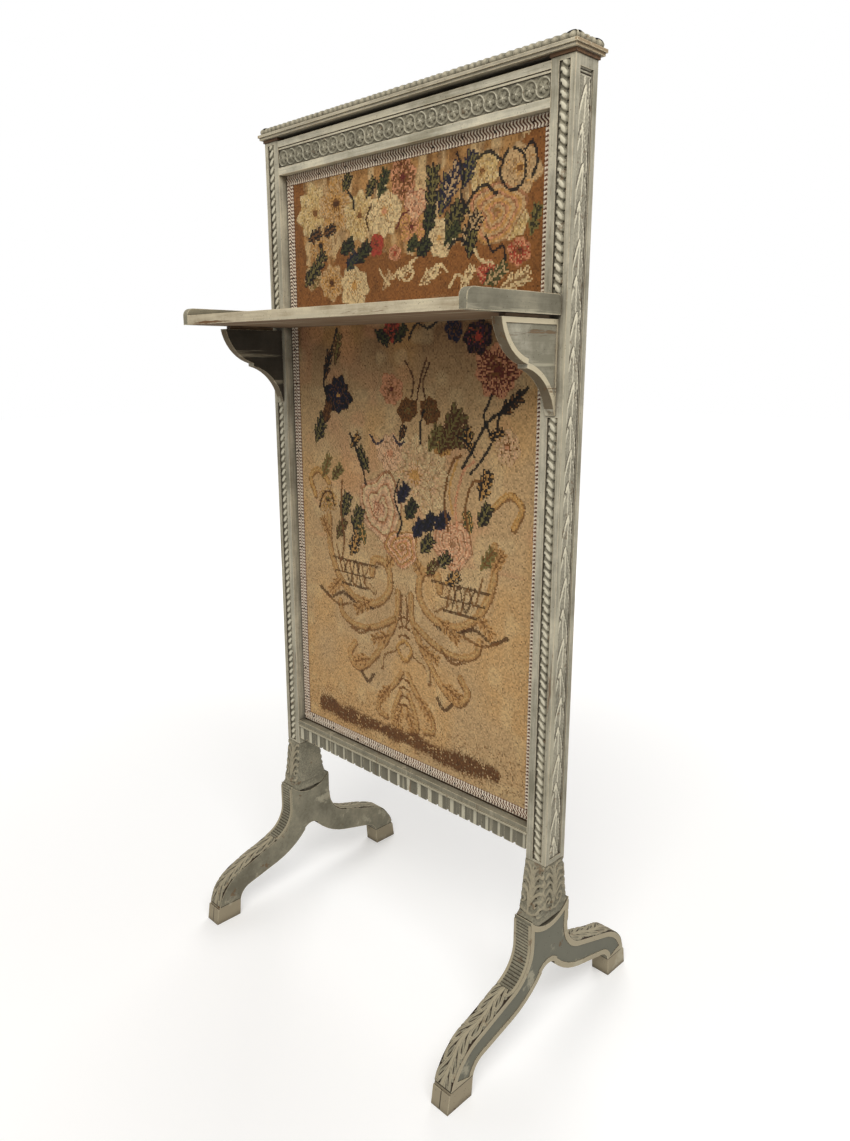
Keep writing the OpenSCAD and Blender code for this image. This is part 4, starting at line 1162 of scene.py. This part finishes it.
MIDDLE_LEAVES = [
    (-150, 770, -136, 812, 11, "black", "umber"), (-128, 790, -116, 834, 11, "dark", "olive"),
    (-50, 832, -22, 816, 12, "black", "green"), (-16, 816, 8, 838, 12, "black", "green"),
    (60, 690, 98, 746, 24, "dark", "olive"), (44, 690, 62, 724, 14, "olive", "dark"),
    (80, 696, 112, 724, 15, "dark", "olive"),
    (-172, 688, -150, 730, 17, "black", "olive"), (-152, 716, -140, 744, 13, "dark", "umber"),
    (112, 690, 104, 724, 11, "black", "ochre"), (150, 738, 186, 762, 12, "black", "umber"),
    (136, 712, 160, 722, 9, "black", "ochre"),
    (-120, 590, -104, 628, 16, "black", "olive"), (-96, 574, -80, 612, 17, "black", "olive"),
    (-104, 540, -84, 578, 15, "black", "ochre"),
    (-132, 560, -112, 592, 13, "dark", "olive"), (-74, 560, -84, 590, 12, "green", "ochre"),
    (-10, 622, 8, 650, 14, "navy", "black"), (4, 604, 22, 630, 15, "black", "green"),
    (18, 582, 34, 608, 14, "navy", "black"),
    (36, 592, 54, 618, 15, "black", "navy"), (54, 598, 78, 622, 14, "navy", "black"),
    (30, 566, 52, 590, 14, "black", "olive"),
    (58, 552, 82, 572, 13, "black", "olive"), (72, 534, 98, 550, 12, "black", "ochre"),
    (40, 540, 60, 560, 12, "dark", "olive"),
    (124, 610, 142, 640, 14, "black", "olive"), (126, 640, 140, 678, 15, "black", "ochre"),
    (112, 600, 104, 628, 12, "green", "ochre"),
    (-64, 656, -86, 690, 13, "black", "olive"), (-100, 686, -80, 706, 10, "black", "ochre"),
    (-140, 640, -116, 662, 12, "olive", "dark"),
    (-160, 640, -142, 676, 12, "olive", "umber"), (-6, 700, 4, 722, 9, "black", "umber"),
    (128, 560, 150, 590, 12, "olive", "umber"),
]
MIDDLE_STROKES = [
    ([(-144, 744), (-152, 770), (-140, 796), (-122, 836)], 3.4, "black"),
    ([(10, 820), (24, 838), (42, 832), (60, 842)], 3.2, "black"),
    ([(14, 752), (18, 774), (4, 796)], 2.8, "dark"), ([(24, 750), (30, 776), (40, 798)], 2.8, "dark"),
    ([(38, 752), (34, 772), (46, 794)], 2.8, "dark"), ([(30, 700), (30, 722), (36, 740)], 3.0, "black"),
    ([(98, 676), (118, 704), (134, 728), (158, 744), (190, 768)], 4.0, "black"),
    ([(110, 670), (130, 690), (146, 716), (152, 740)], 3.4, "black"),
    ([(140, 716), (130, 736), (140, 758)], 3.2, "black"),
    ([(116, 690), (104, 706), (88, 712)], 2.8, "black"),
    ([(-100, 704), (-88, 684), (-76, 660), (-70, 640)], 3.4, "black"),
    ([(-60, 704), (-50, 694), (-36, 700)], 3.0, "navy"),
    ([(-18, 706), (-8, 696), (2, 700)], 3.0, "navy"),
    ([(76, 600), (70, 640), (82, 680), (96, 690)], 3.4, "umber"),
    ([(92, 600), (88, 634), (100, 672), (116, 684)], 3.4, "rose"),
    ([(108, 604), (104, 632), (114, 660), (128, 664)], 3.4, "umber"),
    ([(84, 620), (78, 650), (90, 684)], 3.0, "ochre"),
    ([(-8, 652), (-16, 628), (-4, 600), (-12, 580)], 3.4, "black"),
    ([(-118, 640), (-122, 600), (-116, 560), (-124, 530)], 3.4, "umber"),
    ([(-168, 600), (-158, 620), (-142, 622), (-136, 606)], 3.0, "dark"),
]
# Scrolls of the lower field, drawn on both sides of the middle
SCROLLS = [
    ([(-148, 592), (-147, 548), (-128, 508), (-94, 484), (-56, 484), (-28, 508), (-32, 540), (-56, 544),
      (-62, 524)], 9, "sand"),
    ([(-12, 508), (-14, 478), (-30, 446), (-60, 408), (-92, 386), (-110, 402), (-98, 420)], 8, "sand"),
    ([(-20, 470), (-56, 452), (-92, 446), (-122, 456), (-128, 474)], 7, "sand"),
    ([(-6, 400), (-22, 378), (-46, 358), (-52, 336), (-36, 330)], 6, "sand"),
    ([(-8, 372), (-20, 346), (-22, 326), (-8, 322)], 6, "sand"),
    ([(-56, 500), (-78, 514), (-72, 530)], 5, "beige"),
    ([(-18, 430), (-40, 420), (-44, 400)], 5, "beige"),
]
SCROLL_LINES = [
    ([(-170, 486), (-148, 476), (-120, 486), (-88, 474), (-60, 476)], 5.0, "dark"),
    ([(-158, 478), (-132, 468), (-104, 474)], 3.6, "umber"),
    ([(-104, 440), (-84, 436), (-66, 448)], 4.4, "umber"),
    ([(-84, 380), (-72, 370), (-60, 382)], 5.6, "dark"),
    ([(-142, 534), (-50, 534)], 3.4, "dark"), ([(-136, 516), (-64, 516)], 3.0, "dark"),
    ([(-122, 500), (-70, 500)], 3.2, "dark"),
    ([(-132, 552), (-120, 516), (-108, 534), (-96, 500), (-84, 534), (-74, 504)], 3.0, "umber"),
    ([(-120, 536), (-106, 504), (-94, 534), (-82, 500)], 3.0, "dark"),
    ([(-4, 505), (-6, 480), (-3, 462)], 3.2, "umber"),
]
SCROLL_LEAVES = [
    (-60, 488, -100, 464, 17), (-124, 506, -152, 480, 15), (-26, 446, -66, 430, 15),
    (-66, 404, -104, 390, 16), (-26, 376, -52, 346, 15), (-4, 354, -18, 320, 14),
    (-34, 536, -12, 562, 15), (-146, 560, -164, 590, 14),
]
SIDE_CURL = [(176, 616), (186, 640), (168, 652), (146, 636)]


def mirrored(points):
    return [(-x, z) for x, z in points]


def stitch_grounds(cloth, x, z):
    slow, cloud, small = cloth.clouds(70), cloth.clouds(24), cloth.clouds(8)
    cloth.rgb[:] = WOOL["beige"]
    upper = np.clip((z + 14 * (cloud - 0.5) - 848) / 14, 0, 1) * np.ones_like(x)
    lower = 1 - upper
    cloth.lay_all(upper, "brown", 1.0)
    # Painted shadow of the shelf: the ground below it turns dark brown from z 735 up to z 830.
    cloth.lay_all(np.clip((z - 735) / 95, 0, 1) * (0.7 + 0.3 * cloud) * lower, "bark", 0.9)
    cloth.lay_all(np.clip((slow - 0.5) * 4, 0, 1) * lower, "ochre", 0.35)
    cloth.lay_all(np.clip((cloud - 0.6) * 5, 0, 1) * lower, "cream", 0.3)
    cloth.lay_all(np.clip((cloth.clouds(30) - 0.6) * 5, 0, 1) * lower * (z > 560), "rose", 0.3)
    bouquet = (z > 912 + 22 * cloud) & (x > -186 + 6 * small) & (x < 166 + 26 * small)
    cloth.lay_all(bouquet * (0.6 + 0.4 * small), "sand", 0.95)
    cloth.lay_all(bouquet * np.clip((cloth.clouds(10, 2.0) - 0.48) * 6, 0, 1), "cream", 0.6)
    cloth.lay_all(bouquet * np.clip((cloth.clouds(9, 2.0) - 0.62) * 6, 0, 1), "umber", 0.7)
    cloth.lay_all(upper * np.clip((small - 0.64) * 6, 0, 1), "umber", 0.5)
    basket = np.clip(1 - np.hypot((np.abs(x) - 92) / 46, (z - 522) / 36), 0, 1)
    cloth.lay_all(np.minimum(1, 3 * basket), "cream", 0.35)
    return slow, cloud, small


def stitch_design(cloth):
    x, z = cloth.x[:, None], cloth.z[None, :]
    slow, cloud, small = stitch_grounds(cloth, x, z)
    for points, width, fill in SCROLLS:
        cloth.band(points, width, fill, "umber")
        cloth.band(mirrored(points), width, fill, "umber")
    for points, width, colour in SCROLL_LINES:
        cloth.stroke(points, width, colour, 0.85)
        cloth.stroke(mirrored(points), width, colour, 0.85)
    for level in (476, 464, 452, 392, 380, 368, 356):
        cloth.stroke([(-9, level - 3), (0, level), (9, level - 3)], 3.0, "umber")
    cloth.band([(0, 446), (-13, 434), (0, 418), (13, 434), (0, 446)], 3, "ochre", "umber")
    for side in (-1, 1):
        cloth.band([(side * x, z) for x, z in SIDE_CURL], 6, "ochre", "umber")
    for x0, z0, x1, z1, width in SCROLL_LEAVES:
        cloth.spray((x0, z0), (x1, z1), width, ("sand", "umber"))
        cloth.spray((-x0, z0), (-x1, z1), width, ("sand", "umber"))
    for cx, cz, radius, count, tones, heart in UPPER_FLOWERS + MIDDLE_FLOWERS:
        cloth.flower(cx, cz, radius, count, tones, heart, flat=0.95)
    for rose in UPPER_ROSES + MIDDLE_ROSES:
        cloth.rose(*rose)
    for x0, z0, x1, z1, width, body, vein in UPPER_LEAVES + MIDDLE_LEAVES:
        cloth.spray((x0, z0), (x1, z1), 1.15 * width, (body, vein))
    for points, width, colour in UPPER_STROKES + MIDDLE_STROKES:
        cloth.stroke(points, width, colour)
    streak = np.abs(z - 309 - 10 * (cloud - 0.5) - 2.6 * cloth.rag)
    worn = np.clip(2.3 - streak / 6, 0, 1) * (x > -184 + 8 * small) * (x < 150 + 30 * small)
    cloth.lay_all(worn * (small + 0.3 * cloth.rag > 0.02), "bark", 0.95)
    cloth.lay_all((rng.random(small.shape) < 0.12) * (z < 345) * (z > 290) * 1.0, "umber", 0.6)
    grain = rng.random(small.shape)
    slant = 0.05 * np.sin((x + z) * 2 * np.pi / 5.2 + 3 * cloud)
    tone = (0.74 + 0.46 * grain + slant) * (0.92 + 0.16 * slow)
    tone = np.where(rng.random(grain.shape) > 0.95, tone * 0.6, tone)
    cloth.rgb *= tone[..., None]
    cloth.lay_all((rng.random(grain.shape) < 0.06) * (z < 560), "cream", 0.3)
    return np.clip(cloth.rgb, 0, 1)


def make_needlework():
    low, high = box_mm("needlework")
    cloth = Canvas(low, high)
    colours = stitch_design(cloth)
    us = np.linspace(low[0], high[0], cloth.nx + 1)
    vs = np.linspace(low[2], high[2], cloth.nz + 1)
    height = 0.95 + rng.normal(0, 0.05, (us.size, vs.size))
    piece = slab("needlework_cloth", us, vs, height, lambda a, b, h: (a, high[1] - 0.1 - h, b), 0.0, "wool",
                 "leaf", None, ["needlework"], sharp=180)
    mesh = piece.data
    layer = mesh.attributes.new("wool", "FLOAT_COLOR", "FACE")
    rgba = np.ones((len(mesh.polygons), 4), np.float32)
    rgba[:, :3] = WOOL["beige"]
    rgba[: cloth.nx * cloth.nz, :3] = colours.reshape(-1, 3)
    layer.data.foreach_set("color", rgba.ravel())


def make_lining():
    low, high = box_mm("back_cloth")
    us, vs = steps(low[0], high[0], 4), steps(low[2], high[2], 4)
    u, v = np.meshgrid(us, vs, indexing="ij")
    slack = np.sin(np.pi * (u - low[0]) / (high[0] - low[0]))
    slack = slack * np.sin(np.pi * (v - low[2]) / (high[2] - low[2]))
    height = 0.6 - 0.35 * slack + 0.12 * np.sin(u / 23 + v / 61) * slack
    piece = slab("lining_cloth", us, vs, height, lambda a, b, h: (a, low[1] + h, b), 0.0, "linen", "leaf",
                 None, ["back_cloth"])


# Domed tacks in the gimp
TACK_R = 1.5
TACK_GAP = 46.0


def make_tacks():
    points, faces = [], []
    places = []
    for node in ("gimp_top", "gimp_bottom"):
        low, high = box_mm(node)
        level = (low[2] + high[2]) / 2
        count = round((high[0] - low[0]) / TACK_GAP)
        for k in range(count):
            jitter = rng.uniform(-5, 5, 2)
            across = low[0] + (k + 0.5) * (high[0] - low[0]) / count + jitter[0]
            places.append((across, high[1], level + 0.35 * jitter[1]))
    for node in ("gimp_left", "gimp_right"):
        low, high = box_mm(node)
        middle = (low[0] + high[0]) / 2
        count = round((high[2] - low[2]) / TACK_GAP)
        for k in range(count):
            level = low[2] + (k + 0.5) * (high[2] - low[2]) / count
            places.append((middle + rng.uniform(-1, 1), high[1], level))
    sides = 10
    for x, bed, z in places:
        start = len(points)
        for radius, rise in ((TACK_R, 0.9), (TACK_R, 1.25), (TACK_R * 0.75, 1.6)):
            for k in range(sides):
                angle = 2 * math.pi * k / sides
                points.append((x + radius * math.cos(angle), bed - rise, z + radius * math.sin(angle)))
        for ring in range(2):
            for k in range(sides):
                a, b = start + ring * sides + k, start + ring * sides + (k + 1) % sides
                faces.append([a, b, b + sides, a + sides])
        faces.append([start + 2 * sides + k for k in range(sides)])
        faces.append([start + k for k in reversed(range(sides))])
    return make_piece("gimp_tacks", points, faces, "iron", "leaf", sharp=40)


make_strips()
make_guilloche()
make_laurels()
make_blocks()
make_cap_band()
make_leg_carvings()
gimps = make_gimps()
gimps.append(make_tacks())
make_needlework()
make_lining()
